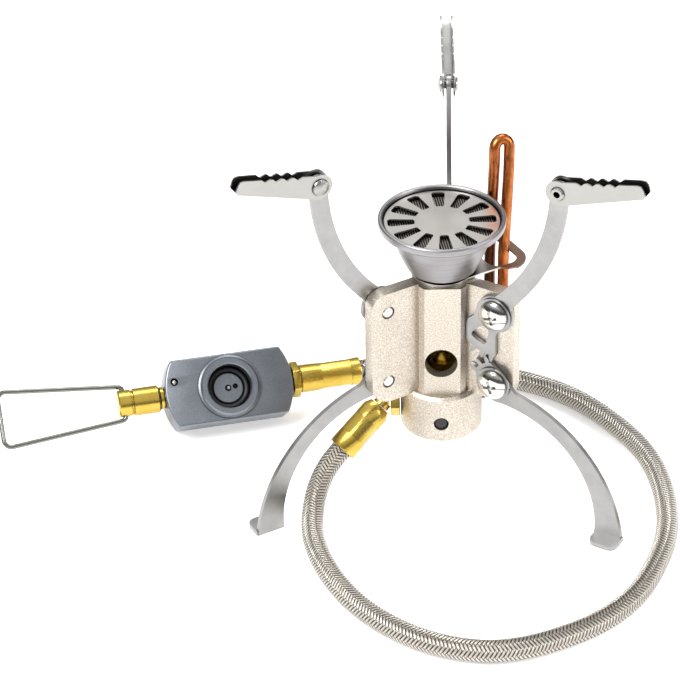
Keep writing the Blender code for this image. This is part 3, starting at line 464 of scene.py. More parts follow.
def drill(obj, radius, bottom, top, sides, matrix=None):
    cut(obj, prism_mesh(radius, bottom, top, sides), matrix)


def bevelled(mesh, width):
    """The mesh with its sharp edges bevelled by width."""
    return baked(mesh, "BEVEL", width=width * MM, segments=3, limit_method="ANGLE",
                 angle_limit=math.radians(50))


# ---- body

def wing_plane(angle):
    """Matrix of a wing's plane: local X outwards, local Y up, local Z along the hinge axes."""
    return turn(angle, "Z") @ turn(90, "X")


def wing_outline():
    top_corner = arc((WING_R - 5.0, BODY_TOP - 5.1), 5.0, 0, 90, 4)
    bottom_corner = arc((WING_R - 7.0, WING_BOTTOM + 7.0), 7.0, -90, 0, 4)
    return [(0.0, WING_BOTTOM), *bottom_corner, *top_corner, (0.0, BODY_TOP - 0.1)]


def build_body(stove):
    profile = [(0, BODY_TOP), (COLUMN_R - 0.4, BODY_TOP), (COLUMN_R, BODY_TOP - 0.4),
               (COLUMN_R, BASE_TOP), (BASE_R - 0.9, BASE_TOP), (BASE_R, BASE_TOP - 0.9),
               (BASE_R, BASE_BOTTOM + 0.7), (BASE_R - 0.7, BASE_BOTTOM), (0, BASE_BOTTOM)]
    body = add("body_casting", turned_mesh(profile, 32), stove)
    right = [(STRIP_HALF - 0.4, -STRIP_FRONT), (STRIP_HALF + 0.3, -STRIP_FRONT + 0.1),
             (STRIP_SIDE, -STRIP_FRONT + 1.8), (STRIP_SIDE, 0)]
    strip = [(-x, y) for x, y in right[::-1]] + right
    height = BODY_TOP - BASE_TOP
    join(body, plate_mesh([strip], height, BASE_TOP + height / 2 - 0.05))
    wing = bevelled(plate_mesh([wing_outline()], WING_THICK), WING_BEVEL)
    for angle in WING_ANGLES:
        join(body, wing, wing_plane(angle))
    drill(body, BORE_R, BORE_BOTTOM, BODY_TOP + 5, 24)
    drill(body, AIR_HOLE_R, 0, 15, 24, along_y(FRONT_X, 0, AIR_HOLE_Z))
    drill(body, SET_SCREW_R + GAP, 8.0, 15, 14, along_y(FRONT_X, 0, SET_SCREW_Z))
    drill(body, JET_SEAT_R, BORE_BOTTOM - 4, BORE_BOTTOM + 1, 16)
    for leg in (TUBE_INNER_LEG, TUBE_OUTER_LEG):
        place = turn(leg["azimuth"], "Z") @ along_x(0, 0, leg["socket_z"])
        drill(body, TUBE_SOCKET_R, TUBE_SOCKET_DEPTH - GAP, 16, 12, place)
    for angle in WING_ANGLES:
        for r, z in (UPPER_PIVOT, LOWER_PIVOT):
            drill(body, SCREW_HOLE_R, -5, 5, 12, wing_plane(angle) @ at(r, z, 0))
    settle(body)


def build_set_screw(stove):
    screw = turned_mesh(pin_profile(SET_SCREW_R, 12.5, 8.4, 0.3), 12)
    settle(add("set_screw", screw, stove, along_y(FRONT_X, 0, SET_SCREW_Z)))


def build_jet(stove):
    """Brass jet: a threaded stem in the floor of the bore, a hexagon and a conical tip."""
    place = at(0, 0, BORE_BOTTOM)
    jet = add("jet_nozzle", prism_mesh(4.4, GAP, 3.9, 6, 12), stove, place)
    tip = [(0, 6.4), (1.3, 6.4), (1.6, 6.1), (2.8, 4.8), (2.8, 3.0), (0, 3.0)]
    join(jet, turned_mesh(pin_profile(2.3, 0.8, -3.6), 12), place)
    join(jet, turned_mesh(tip, 12), place)
    drill(jet, 0.35, 5.5, 9, 8, place)
    settle(jet)


# ---- burner

def cup_outer(t):
    """Bowl of the cup from its lower edge, t = 0, to the rim's underside, t = 1."""
    radius, height = CUP_WALL_START
    return radius + 4.2 * math.sin(math.radians(90 * t)), height + 13.4 * t


def build_cup(stove):
    wall = [cup_outer(t) for t in (1, 0.75, 0.5, 0.25, 0)]
    inner = [(r - CUP_WALL, z + 0.9) for r, z in reversed(wall)]
    rim = arc((CUP_RIM_R - 0.75, CUP_RIM_Z - 0.75), 0.75, 150, -30, 4)
    edge_r, edge_z = CUP_WALL_START
    profile = [*rim, (CUP_RIM_R - 0.1, CUP_RIM_Z - 2.3), (CUP_RIM_R - 0.5, CUP_RIM_Z - 2.8),
               (CUP_RIM_R - 3.2, CUP_RIM_Z - 3.5), *wall, (edge_r - 0.3, edge_z - 0.2),
               (CUP_FOOT_R, edge_z - 0.2), (CUP_FOOT_R, CUP_FOOT_Z + 0.2), (CUP_FOOT_R - 0.2, CUP_FOOT_Z),
               (CUP_STEM_R, CUP_FOOT_Z), (CUP_STEM_R, CUP_STEM_END), (CUP_STEM_BORE_R, CUP_STEM_END),
               (CUP_STEM_BORE_R, CUP_FOOT_Z + 1.6), *inner, (GAUZE_R + 0.4, CUP_RIM_Z - 3.0),
               (GAUZE_R + 0.4, CUP_RIM_Z - 2.4), (CUP_RIM_R - 1.5, CUP_RIM_Z - 2.4)]
    settle(add("burner_cup", turned_mesh(profile, 36, closed=True), stove), 28)


def wedge_slot(angle):
    """Slot of the grille: a wedge that widens outwards, with rounded corners."""
    local = []
    for x, y, radius, start, end in ((9.2, 0.7, 0.7, 94, 180), (9.2, -0.7, 0.7, 180, 266),
                                     (15.8, -0.95, 1.2, -86, -8), (15.8, 0.95, 1.2, 8, 86)):
        local += arc((x, y), radius, start, end, 2)
    across, along = polar(1, angle)
    return [(x * across - y * along, x * along + y * across) for x, y in local]


def build_grille(stove):
    slots = [wedge_slot(SLOT_START + 360 / SLOT_COUNT * i) for i in range(SLOT_COUNT)]
    settle(add("burner_grille", plate_mesh([circle(GRILLE_R, 36), *slots], GRILLE_THICK, GRILLE_Z),
               stove))


def build_gauze(stove):
    """Corrugated wire gauze under the grille: ribs that run from front to back."""
    top = GRILLE_Z - GRILLE_THICK / 2 - GAP
    shape = bmesh.new()
    bmesh.ops.create_grid(shape, x_segments=GAUZE_CELLS, y_segments=GAUZE_CELLS, size=GAUZE_R * MM)
    for vertex in list(shape.verts):
        x, y = vertex.co.x / MM, vertex.co.y / MM
        if math.hypot(x, y) > GAUZE_R:
            shape.verts.remove(vertex)
            continue
        lean = x * math.cos(RIB_LEAN) + y * math.sin(RIB_LEAN)
        vertex.co.z = (top - RIB_DEPTH * (1 + math.cos(lean / RIB_PITCH * 2 * math.pi))) * MM
    mesh = mesh_of(shape)
    mesh.shade_smooth()
    add("burner_gauze", mesh, stove)


def build_bracket(stove):
    """Thin plate: a ring round the neck and a slotted lug that the preheat tube passes through."""
    half_root, half_lug, end, corner = 8.3, 11.2, 27.6, 7.5
    start = math.degrees(math.asin(half_root / BRACKET_RING_R))
    outline = [*arc((0, 0), BRACKET_RING_R, start, 360 - start, 18), (16.5, -half_root), (18.2, -9.9),
               *arc((end - corner, corner - half_lug), corner, -80, 0, 4),
               *arc((end - corner, half_lug - corner), corner, 0, 80, 4), (18.2, 9.9), (16.5, half_root)]
    slot = []
    for x, y, first in ((20.5, 4, 0), (18.2, 4, 90), (18.2, -4, 180), (20.5, -4, 270)):
        slot += arc((x, y), 4.0, first, first + 90, 3)
    mesh = plate_mesh([outline, circle(BORE_R, 24), slot], BRACKET_THICK,
                      BRACKET_Z + BRACKET_THICK / 2)
    settle(add("tube_bracket", mesh, stove, turn(BRACKET_AZIMUTH, "Z")))


def tube_leg_foot(leg):
    """Lower end of a tube leg: out of its socket in the base and round a bend to the upright."""
    across, along = polar(1, leg["azimuth"])
    centre = (leg["reach"] - leg["bend"], leg["socket_z"] + leg["bend"])
    side = [(TUBE_SOCKET_DEPTH, leg["socket_z"]), *arc(centre, leg["bend"], -90, 0, 6), (leg["reach"], 60.0)]
    return [(r * across, r * along, z) for r, z in side]


def build_preheat_tube(stove):
    """Hairpin that carries the gas up beside the burner's rim and back down to the body."""
    inner = tube_leg_foot(TUBE_INNER_LEG) + [(15.7, 13.6, 80.0), (16.4, 15.2, 97.0), (16.8, 16.1, 108.0)]
    outer = tube_leg_foot(TUBE_OUTER_LEG) + [(19.8, 9.9, 80.0), (20.8, 13.4, 97.0), (21.4, 16.2, 108.0)]
    left, right = Vector((16.9, 16.3, 114.3)), Vector((21.5, 17.7, 114.3))
    middle, half, rise = (left + right) / 2, (right - left) / 2, Vector((0, 0.9, 2.5))
    top = [middle - half * x + rise * y for x, y in (polar(1, 22.5 * i) for i in range(9))]
    settle(add("preheat_tube", wire_mesh([*inner, *top, *outer[::-1]], TUBE_R), stove), 60)


# ---- arms, legs and pot supports

def involute(angle):
    return math.tan(angle) - angle


def tooth(teeth, centre_angle):
    """Outline of one gear tooth about its gear's centre, anticlockwise, with thinned flanks."""
    pitch_r = GEAR_MODULE * teeth / 2
    base_r = pitch_r * math.cos(PRESSURE_ANGLE)
    root_r, tip_r = pitch_r - 1.25 * GEAR_MODULE, pitch_r + 0.94 * GEAR_MODULE
    half_pitch = (math.pi * GEAR_MODULE / 2 - BACKLASH) / 2 / pitch_r
    flank = []
    for radius in np.linspace(root_r, tip_r, 4):
        pressure = math.acos(min(1.0, base_r / radius))
        flank.append((radius, math.degrees(half_pitch + involute(PRESSURE_ANGLE) - involute(pressure))))
    return [polar(r, centre_angle - half) for r, half in flank] + \
        [polar(r, centre_angle + half) for r, half in flank[::-1]]


def arm_tooth_angles():
    """Teeth of the arm that mesh with the leg's teeth, left to right along the sector."""
    half_pitch = 180 / ARM_TEETH
    spaces = [270 - (angle - 90) * LEG_TEETH / ARM_TEETH for angle in LEG_TOOTH_ANGLES]
    return sorted(space - half_pitch for space in spaces[:2]) + [spaces[0] + half_pitch]


def arm_outline():
    """Arm in the wing's plane, about its hinge: curved blade, round boss and toothed tail."""
    centre = shifted(ARM_ARC_CENTRE, UPPER_PIVOT)
    teeth = [point for angle in arm_tooth_angles() for point in tooth(ARM_TEETH, angle)]
    return [*arc(centre, ARM_OUTER_R, -42.9, -1.5, 10),
            *arc(shifted(SUPPORT_PIVOT, UPPER_PIVOT), 3.05, 0, 180, 6),
            *arc(centre, ARM_INNER_R, -1.5, -44.4, 10), *arc((0, 0), ARM_BOSS_R, 92, 176, 5),
            (-7.4, -2.6), (-9.3, -4.3), (-9.9, -6.0), (-9.9, -12.2), *teeth,
            (0.35, -15.9), (0.35, -8.0), (1.0, -6.7), *arc((0, 0), ARM_BOSS_R, -75, 28, 5)]


def arm_window():
    """Curved slot with cut corners through the arm's tail, clockwise about the hinge."""
    return [polar(radius, angle) for radius, angle in (
        (7.9, 229), (6.9, 235), (6.9, 250), (7.9, 255), (12.1, 256), (13.1, 253), (13.1, 242.5),
        (13.1, 232), (12.1, 229))]


def leg_outline():
    """Leg in the wing's plane, about its hinge, down to the ground."""
    outer, inner = shifted(LEG_OUTER_CENTRE, LOWER_PIVOT), shifted(LEG_INNER_CENTRE, LOWER_PIVOT)
    outer_start = math.degrees(math.asin((-LOWER_PIVOT[1] - outer[1]) / LEG_OUTER_R))
    inner_end = math.degrees(math.asin((-LOWER_PIVOT[1] - inner[1]) / LEG_INNER_R))
    teeth = [point for angle in LEG_TOOTH_ANGLES for point in tooth(LEG_TEETH, angle)]
    return [*arc(outer, LEG_OUTER_R, outer_start, 76.5, 11),
            (5.9, -0.3), (4.1, 1.7), (1.9, 4.0), (-0.2, 6.2), (-1.3, 7.2), *teeth,
            *arc((0, 0), LEG_BOSS_R, 172, 255, 5), *arc(inner, LEG_INNER_R, 91, inner_end, 10)]


def on_support(along, up):
    """Point on a support's side: a distance along its slope and one square to it, from the rivet."""
    x, y = polar(1, SUPPORT_SLOPE)
    return along * x - up * y, along * y + up * x


def support_outline():
    """Side of a pot support about its rivet: round end, sloping base, notched top."""
    low, high = -SUPPORT_END_R, SUPPORT_TIP - SUPPORT_END_R
    points = [on_support(along, up) for along, up in (
        (0, low), (SUPPORT_LENGTH - 0.8, low), (SUPPORT_LENGTH, low + 0.8), (SUPPORT_LENGTH, high - 1.6),
        (SUPPORT_LENGTH - 0.4, high - 0.5), (SUPPORT_LENGTH - 1.6, high))]
    top_start, top_end = Vector((1.2, SUPPORT_END_R - 0.05)), Vector(points[-1])
    top = (top_start - top_end).normalized()
    down = Vector((-top.y, top.x))
    for i in range(NOTCH_COUNT):
        middle = top_end + top * (NOTCH_START + NOTCH_PITCH * i)
        points += [middle - top * NOTCH_HALF, middle + down * NOTCH_DEPTH, middle + top * NOTCH_HALF]
    return [*points, top_start, *arc((0, 0), SUPPORT_END_R, 95, 270 + SUPPORT_SLOPE - 12, 7)]


def support_channel():
    """Inside of the support's channel: open above the web and at the tip, and clear round the rivet."""
    floor, past_tip = SUPPORT_WALL - SUPPORT_END_R, SUPPORT_LENGTH + 1
    return [on_support(along, up) for along, up in (
        (SUPPORT_WEB_START, -9), (SUPPORT_WEB_START, floor), (past_tip, floor), (past_tip, 14), (-9, 14),
        (-9, -9))]


def pattern(mesh):
    """Free piece whose mesh the wings share."""
    return add("pattern", mesh, None)


def finished(obj):
    """Mesh of a pattern, which is then removed."""
    mesh = settle(obj).data
    bpy.data.objects.remove(obj, do_unlink=True)
    return mesh


def arm_mesh():
    holes = [circle(SCREW_HOLE_R, 12),
             arc(shifted(SUPPORT_PIVOT, UPPER_PIVOT), RIVET_R + GAP, 0, 360, 12)[:-1], arm_window()]
    return finished(pattern(bevelled(plate_mesh([arm_outline(), *holes], PLATE_THICK, PLATE_OFFSET), EDGE)))


def leg_mesh():
    outline = [leg_outline(), circle(SCREW_HOLE_R, 12)]
    leg = pattern(plate_mesh(outline, PLATE_THICK, PLATE_OFFSET))
    inner, outer = FOOT_INNER - LOWER_PIVOT[0], FOOT_OUTER - LOWER_PIVOT[0]
    near = PLATE_OFFSET - PLATE_THICK / 2 + 0.4
    corner = -FOOT_REACH + FOOT_CORNER_R
    tab = [(inner, -near), *arc((inner + FOOT_CORNER_R, corner), FOOT_CORNER_R, 180, 270, 3),
           *arc((outer - FOOT_CORNER_R, corner), FOOT_CORNER_R, 270, 360, 3), (outer, -near)]
    join(leg, plate_mesh([tab], PLATE_THICK), at(0, PLATE_THICK / 2 - LOWER_PIVOT[1], 0) @ turn(-90, "X"))
    return finished(leg)


def support_mesh():
    outlines = [support_outline(), circle(RIVET_R + 0.2, 12)]
    support = pattern(plate_mesh(outlines, SUPPORT_GAP + 2 * SUPPORT_WALL, PLATE_OFFSET))
    cut(support, plate_mesh([support_channel()], SUPPORT_GAP, PLATE_OFFSET))
    return finished(support)


def pivot_screw_mesh():
    """Truss-head cross-recess screw about Z, its head on the positive side."""
    seat, end = PLATE_OFFSET + PLATE_THICK / 2 + GAP + 0.8, 0.05 - WING_THICK / 2
    dome = [polar(1, 90 - 26 * i) for i in range(1, 4)]
    profile = [(0, seat + 2.3), *((SCREW_HEAD_R * x, seat + 0.5 + 1.8 * y) for x, y in dome),
               (SCREW_HEAD_R, seat), (SCREW_R, seat), (SCREW_R, end + 0.3), (SCREW_R - 0.3, end), (0, end)]
    screw = pattern(turned_mesh(profile, 16))
    blade = bmesh.new()
    bmesh.ops.create_cube(blade, size=MM, matrix=at(0, 0, seat + 2.3) @ Matrix.Diagonal((4.6, 1.0, 2.4, 1)))
    blade = mesh_of(blade)
    for angle in (15, 105):
        cut(screw, blade, turn(angle, "Z"))
    return finished(screw)


def washer_mesh():
    low = PLATE_OFFSET + PLATE_THICK / 2 + GAP
    profile = [(SCREW_HOLE_R, low + 0.5), (WASHER_R, low + 0.5), (WASHER_R, low), (SCREW_HOLE_R, low)]
    return finished(pattern(turned_mesh(profile, 20, closed=True)))


def rivet_mesh():
    """Hollow rivet through a pot support and its arm: open end on one side, dome on the other."""
    half = SUPPORT_GAP / 2 + SUPPORT_WALL + GAP * 0.7
    top, bottom = PLATE_OFFSET + half, PLATE_OFFSET - half
    profile = [(1.1, top + 0.6), (1.9, top + 0.6), (2.3, top), (RIVET_R, top), (RIVET_R, bottom),
               (2.8, bottom), (2.6, bottom - 0.5), (1.2, bottom - 1.1), (0, bottom - 1.1),
               (0, bottom + 0.8), (1.1, bottom + 0.8)]
    return finished(pattern(turned_mesh(profile, 12, closed=True)))


def build_folding_parts(stove):
    """Three wings' worth of arms, legs and pot supports; the wings share one set of meshes."""
    screw, washer = pivot_screw_mesh(), washer_mesh()
    shared = {"arm": arm_mesh(), "leg": leg_mesh(), "pot_support": support_mesh(), "upper_screw": screw,
              "upper_washer": washer, "lower_screw": screw, "lower_washer": washer,
              "support_rivet": rivet_mesh()}
    for number, angle in enumerate(WING_ANGLES, 1):
        plane = empty((0, 0, 0), (90, 0, angle), stove)
        top = empty((*UPPER_PIVOT, 0), parent=plane)
        bottom = empty((*LOWER_PIVOT, 0), parent=plane)
        end = empty((*shifted(SUPPORT_PIVOT, UPPER_PIVOT), 0), parent=top)
        hinges = (top, bottom, end, top, top, bottom, bottom, end)
        for (name, mesh), hinge in zip(shared.items(), hinges):
            add(f"{name}_{number}", mesh, hinge)


# ---- inlet, hose and ferrules

def heading_matrix(start, direction):
    """Matrix at a point in millimetres whose local Z runs along direction."""
    return at(*start) @ Vector(direction).to_track_quat("Z", "Y").to_matrix().to_4x4()


def ferrule_direction():
    return (Vector(STOVE_HOSE_END) - Vector(STOVE_FERRULE_START)).normalized()


def hex_nut_mesh(across_flats, start, length, angle):
    return bevelled(prism_mesh(across_flats / math.sqrt(3), start, start + length, 6, angle), 0.3)


def build_inlet(stove):
    nut = hex_nut_mesh(INLET_HEX, 0, INLET_NUT, 30)
    settle(add("inlet_hex_nut", nut, stove, heading_matrix((-BASE_R - GAP, INLET_Y, INLET_Z), (-1, 0, 0))))
    elbow = Vector((-BASE_R - INLET_NUT - 2 * GAP, INLET_Y, INLET_Z))
    start, direction = Vector(STOVE_FERRULE_START), ferrule_direction()
    leave = start - direction * 1.2
    bend = [elbow, elbow + Vector((-0.8, 0, 0)), leave - direction * 0.8, leave]
    path = [bezier(bend, t) for t in (0.0, 0.2, 0.4, 0.6, 0.8, 1.0)] + [start + direction * 0.8]
    settle(add("inlet_elbow", wire_mesh(path, ELBOW_R, 3), stove), 50)


def build_ferrule(name, parent, matrix, length, outside, crimp):
    """Ferrule that holds the hose's end, with six flats pressed in; crimp is their width and two ends."""
    profile = [(0, length - HOSE_RECESS), (HOSE_BORE_R, length - HOSE_RECESS), (HOSE_BORE_R, length),
               *outside, (0, 0)]
    ferrule = add(name, turned_mesh(profile, 24), parent, matrix)
    across_flats, first, last = crimp
    flats = [polar(across_flats / math.sqrt(3), angle) for angle in range(0, 360, 60)]
    ring = plate_mesh([circle(CRIMP_RING_R, 9), flats], last - first, (first + last) / 2)
    cut(ferrule, ring, matrix)
    settle(ferrule)


def build_stove_ferrule(stove):
    start, direction = Vector(STOVE_FERRULE_START), ferrule_direction()
    length = (Vector(STOVE_HOSE_END) - start).length - FERRULE_LEAD
    outside = [(4.55, length), (4.75, length - 0.3), (4.75, 2.2), (3.9, 0.6), (3.6, 0)]
    place = heading_matrix(start + direction * FERRULE_LEAD, direction)
    build_ferrule("stove_ferrule", stove, place, length, outside, (8.7, 6.0, 13.2))


def running_length(points):
    """Distance along the points, from the first to each."""
    return np.concatenate([[0], np.cumsum(np.linalg.norm(np.diff(points, axis=0), axis=1))])


def smooth_route(route, spacing):
    """Even points along the natural cubic spline through the route's points."""
    route = np.array(route, float)
    steps = np.diff(running_length(route))
    count = len(route)
    system = np.eye(count)
    right = np.zeros((count, 3))
    for i in range(1, count - 1):
        system[i, i - 1:i + 2] = steps[i - 1], 2 * (steps[i - 1] + steps[i]), steps[i]
        right[i] = 6 * ((route[i + 1] - route[i]) / steps[i] - (route[i] - route[i - 1]) / steps[i - 1])
    bend = np.linalg.solve(system, right)
    fine = []
    for i, step in enumerate(steps):
        for run in np.linspace(0, step, 20, endpoint=i == count - 2):
            rest = step - run
            fine.append((bend[i] * rest ** 3 + bend[i + 1] * run ** 3) / (6 * step)
                        + (route[i] / step - bend[i] * step / 6) * rest
                        + (route[i + 1] / step - bend[i + 1] * step / 6) * run)
    fine = np.array(fine)
    length = running_length(fine)
    even = np.linspace(0, length[-1], max(2, round(length[-1] / spacing)) + 1)
    return np.column_stack([np.interp(even, length, fine[:, axis]) for axis in range(3)])


def tube_with_uv(points, radius, sides):
    """Tube mesh along points in millimetres; U goes once round it and V is length over circumference."""
    tangents = np.gradient(points, axis=0)
    tangents /= np.linalg.norm(tangents, axis=1)[:, None]
    across = np.cross(tangents[0], (0.0, 0.0, 1.0))
    angles = np.linspace(0, 2 * math.pi, sides, endpoint=False)
    rings = []
    for point, tangent in zip(points, tangents):
        across = across - tangent * across.dot(tangent)
        across /= np.linalg.norm(across)
        up = np.cross(tangent, across)
        rings.append(point + radius * (np.outer(np.cos(angles), across) + np.outer(np.sin(angles), up)))
    corners = ((0, 0), (1, 0), (1, 1), (0, 1))
    faces = [[(ring + down) * sides + (side + on) % sides for on, down in corners]
             for ring in range(len(points) - 1) for side in range(sides)]
    mesh = bpy.data.meshes.new("braided_hose")
    mesh.from_pydata((np.concatenate(rings) * MM).tolist(), [], faces)
    along = running_length(points) / (2 * math.pi * radius)
    layer = mesh.uv_layers.new(name="braid")
    for face in mesh.polygons:
        ring, side = divmod(face.index, sides)
        for corner, (on, down) in zip(face.loop_indices, corners):
            layer.data[corner].uv = ((side + on) / sides, along[ring + down])
    mesh.shade_smooth()
    return mesh


def hose_points():
    """Centreline in the model's frame, in millimetres, from inside one ferrule to inside the other."""
    first = Vector(STOVE_HOSE_END) - ferrule_direction() * (HOSE_RECESS - GAP)
    lie = Euler([math.radians(angle) for angle in ADAPTER_TURNS])
    adapter_axis = lie.to_matrix() @ Vector((1, 0, 0))
    last = Vector(ADAPTER) + adapter_axis * (ADAPTER_HOSE_END - HOSE_RECESS + GAP)
    return smooth_route([tuple(first), *HOSE_ROUTE, tuple(last)], HOSE_SPACING) + (STOVE_X, STOVE_Y, 0.0)


def build_hose():
    points = hose_points()
    hose = add("braided_hose", tube_with_uv(points, HOSE_R, HOSE_SIDES), None)
    return hose, points * MM, float(running_length(points)[-1] * MM)


# ---- canister adapter

def build_adapter_body(adapter):
    corner = math.degrees(math.asin(ADAPTER_FLAT / ADAPTER_R))
    outline = arc((0, 0), ADAPTER_R, -corner, corner, 8)
    outline += arc((0, 0), ADAPTER_R, 180 - corner, 180 + corner, 8)
    body = add("adapter_body", bevelled(plate_mesh([outline], ADAPTER_THICK), 0.7), adapter)
    face = ADAPTER_THICK / 2
    rim = face + BOSS_HEIGHT
    boss = [(0, rim), (BOSS_R - 1.3, rim), (BOSS_R - 0.9, rim - 0.4), (BOSS_R - 0.6, face + 1.0),
            (BOSS_R, face + 0.7), (BOSS_R, face - 1), (0, face - 1)]
    join(body, turned_mesh(boss, 28))
    socket = [(0, rim + 0.8), (SOCKET_R + 1.2, rim + 0.8), (SOCKET_R, rim - 0.4), (SOCKET_R, SOCKET_FLOOR),
              (0, SOCKET_FLOOR)]
    cut(body, turned_mesh(socket, 28))
    drill(body, 1.3, face - 2.2, face + 1, 12, at(*STOP_PIN))
    for side in (-1, 1):
        drill(body, 3.4, ADAPTER_R - 2.4, ADAPTER_R + 2, 16, turn(90 * side, "Y"))
    settle(body)


def build_adapter_inside(adapter):
    """Black sealing ring, valve core and depressor pin in the socket, and the stop pin beside it."""
    floor, face = SOCKET_FLOOR, ADAPTER_THICK / 2
    core = turned_mesh(pin_profile(CORE_R, floor + CORE_HEIGHT, floor + GAP, 0.3), 24)
    disc = add("valve_core", core, adapter)
    drill(disc, 1.1, floor - 1, floor + 4, 10)
    drill(disc, 0.9, floor - 1, floor + 4, 10, at(2.4, 0.3, 0))
    settle(disc)
    pin = [(0, floor + 3.2), (0.45, floor + 3.15), (0.75, floor + 2.8), (0.75, floor + GAP), (0, floor + GAP)]
    settle(add("depressor_pin", turned_mesh(pin, 10), adapter))
    section = arc((CORE_R + 1.1, floor + 1.75), 0.8, 0, 360, 6)[:-1][::-1]
    settle(add("adapter_seal", turned_mesh(section, 24, closed=True), adapter), 60)
    stop = [(0, face - 0.1), (0.5, face - 0.2), (0.8, face - 0.5), (0.8, face - 1.9), (0, face - 1.9)]
    settle(add("stop_pin", turned_mesh(stop, 10), adapter, at(*STOP_PIN)))


def build_adapter_outlet(adapter):
    """Brass nut on the adapter's right end and the ferrule that holds the hose in it."""
    place = along_x(0, 0, 0)
    nut = add("adapter_hex_nut", hex_nut_mesh(10.5, ADAPTER_R + GAP, 2.6, 10), adapter, place)
    join(nut, turned_mesh(pin_profile(3.0, ADAPTER_FERRULE_START - GAP, ADAPTER_R - 1.8), 16), place)
    settle(nut)
    length = ADAPTER_HOSE_END - ADAPTER_FERRULE_START
    outside = [(4.6, length), (4.75, length - 0.4), (4.55, length - 2.4), (4.5, 7.6), (4.7, 4.6), (4.7, 0.4),
               (4.4, 0)]
    build_ferrule("adapter_ferrule", adapter, along_x(ADAPTER_FERRULE_START, 0, 0), length, outside,
                  (8.35, 7.4, 17.7))


def build_valve(adapter):
    """Valve collar, knob and wire bail on the adapter's left, all about the adapter's X axis."""
    start, outwards = ADAPTER_R + GAP, turn(-90, "Y")
    collar = [(0, start + 1.1), (3.6, start + 1.1), (3.8, start + 0.9), (3.8, start), (3.0, start),
              (3.0, ADAPTER_R - 2.0), (0, ADAPTER_R - 2.0)]
    settle(add("valve_collar", turned_mesh(collar, 18), adapter, outwards))
    near, far = -KNOB_START, -KNOB_END
    groove = far - 4.7
    profile = [(0, far), (KNOB_R - 0.5, far), (KNOB_R - 0.1, far - 0.4), (KNOB_R - 0.1, groove + 0.5),
               (KNOB_R - 0.5, groove + 0.2), (KNOB_R - 0.5, groove - 0.2), (KNOB_R, groove - 0.5),
               (KNOB_R, near + 0.4), (KNOB_R - 0.4, near), (0, near)]
    knob = add("valve_knob", turned_mesh(profile, 24), adapter, outwards)
    drill(knob, BAIL_R + GAP, -8, 8, 12, along_y(BAIL_X, 0, 0))
    settle(knob)
    far_x = BAIL_FAR - BAIL_X
    half = [(0, 2.6), (0, 4.3), (-0.25, 5.0), (-0.8, 5.5), (-1.8, 5.75), (far_x + 3.4, 9.15),
            *arc((far_x + 2.9, 6.7), 2.5, 86, 180, 5)]
    path = [(x, y, 0) for x, y in half] + [(x, -y, 0) for x, y in reversed(half)]
    settle(add("wire_bail", wire_mesh(path, BAIL_R), adapter, at(BAIL_X, 0, 0)), 60)


def build():
    """All the fine pieces, under empties that are placed as the part's own are."""
    stove = empty((STOVE_X, STOVE_Y, 0))
    for make in (build_body, build_set_screw, build_jet, build_cup, build_grille, build_gauze, build_bracket,
                 build_preheat_tube, build_folding_parts, build_inlet, build_stove_ferrule):
        make(stove)
    adapter = empty(ADAPTER, ADAPTER_TURNS, stove)
    for make in (build_adapter_body, build_adapter_inside, build_adapter_outlet, build_valve):
        make(adapter)


def place_pieces():
    """Free the pieces from their empties, each with its place in its mesh, and ride them."""
    bpy.context.view_layer.update()
    for obj in [piece for piece in PIECES.objects if piece.type == "MESH"]:
        place = obj.matrix_world.copy()
        obj.data = obj.data.copy()
        obj.data.transform(place)
        obj.parent = None
        obj.matrix_world = Matrix.Identity(4)
    for obj in [piece for piece in PIECES.objects if piece.type == "EMPTY"] + list(CUTTERS.objects):
        bpy.data.objects.remove(obj, do_unlink=True)
    materials = {}
    for obj in PIECES.objects:
        node = obj["node"]
        slot = SLOT_OF[node]
        if slot not in materials:
            materials[slot] = make_finish(slot)
        obj.data.materials.clear()
        obj.data.materials.append(materials[slot])
        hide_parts(node)
        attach(obj, BODY_OF[node])


# ---- finishes

FINISHES = {}


def finish(colour, metallic, roughness):
    """Keep a function as the finish of its own name; it varies these plain values."""
    def keep(vary):
        FINISHES[vary.__name__] = (vary, colour, metallic, roughness)
        return vary
    return keep


def nodes_for(name, colour, metallic, roughness):
    """New material and its shader, with plain values."""
    material = bpy.data.materials.new(name)
    material.use_nodes = True
    shader = material.node_tree.nodes["Principled BSDF"]
    shader.inputs["Base Color"].default_value = (*colour, 1.0)
    shader.inputs["Metallic"].default_value = metallic
    shader.inputs["Roughness"].default_value = roughness
    return material, shader


def make_finish(name):
    vary, *plain = FINISHES[name]
    material, shader = nodes_for(name, *plain)
    vary(shader)
    return material


def node(tree, kind, inputs=None, **settings):
    """New node; inputs maps socket names or numbers to values or to sockets to link."""
    made = tree.nodes.new(kind)
    for key, value in settings.items():
        setattr(made, key, value)
    for key, value in (inputs or {}).items():
        if isinstance(value, bpy.types.NodeSocket):
            tree.links.new(value, made.inputs[key])
        else:
            made.inputs[key].default_value = value
    return made


def stretched(shader, scale):
    """Object coordinates scaled by three factors, per metre."""
    coordinates = node(shader.id_data, "ShaderNodeTexCoord").outputs["Object"]
    inputs = {"Vector": coordinates, "Scale": scale}
    return node(shader.id_data, "ShaderNodeMapping", inputs).outputs["Vector"]


def coordinate(shader, axis):
    """Object coordinate along an axis, in millimetres."""
    inputs = {0: stretched(shader, (1 / MM, 1 / MM, 1 / MM))}
    return node(shader.id_data, "ShaderNodeSeparateXYZ", inputs).outputs[axis]


def noise(shader, scale, detail=2.0, roughness=0.5):
    vector = stretched(shader, scale if isinstance(scale, tuple) else (scale, scale, scale))
    inputs = {"Vector": vector, "Scale": 1.0, "Detail": detail, "Roughness": roughness}
    return node(shader.id_data, "ShaderNodeTexNoise", inputs).outputs["Fac"]


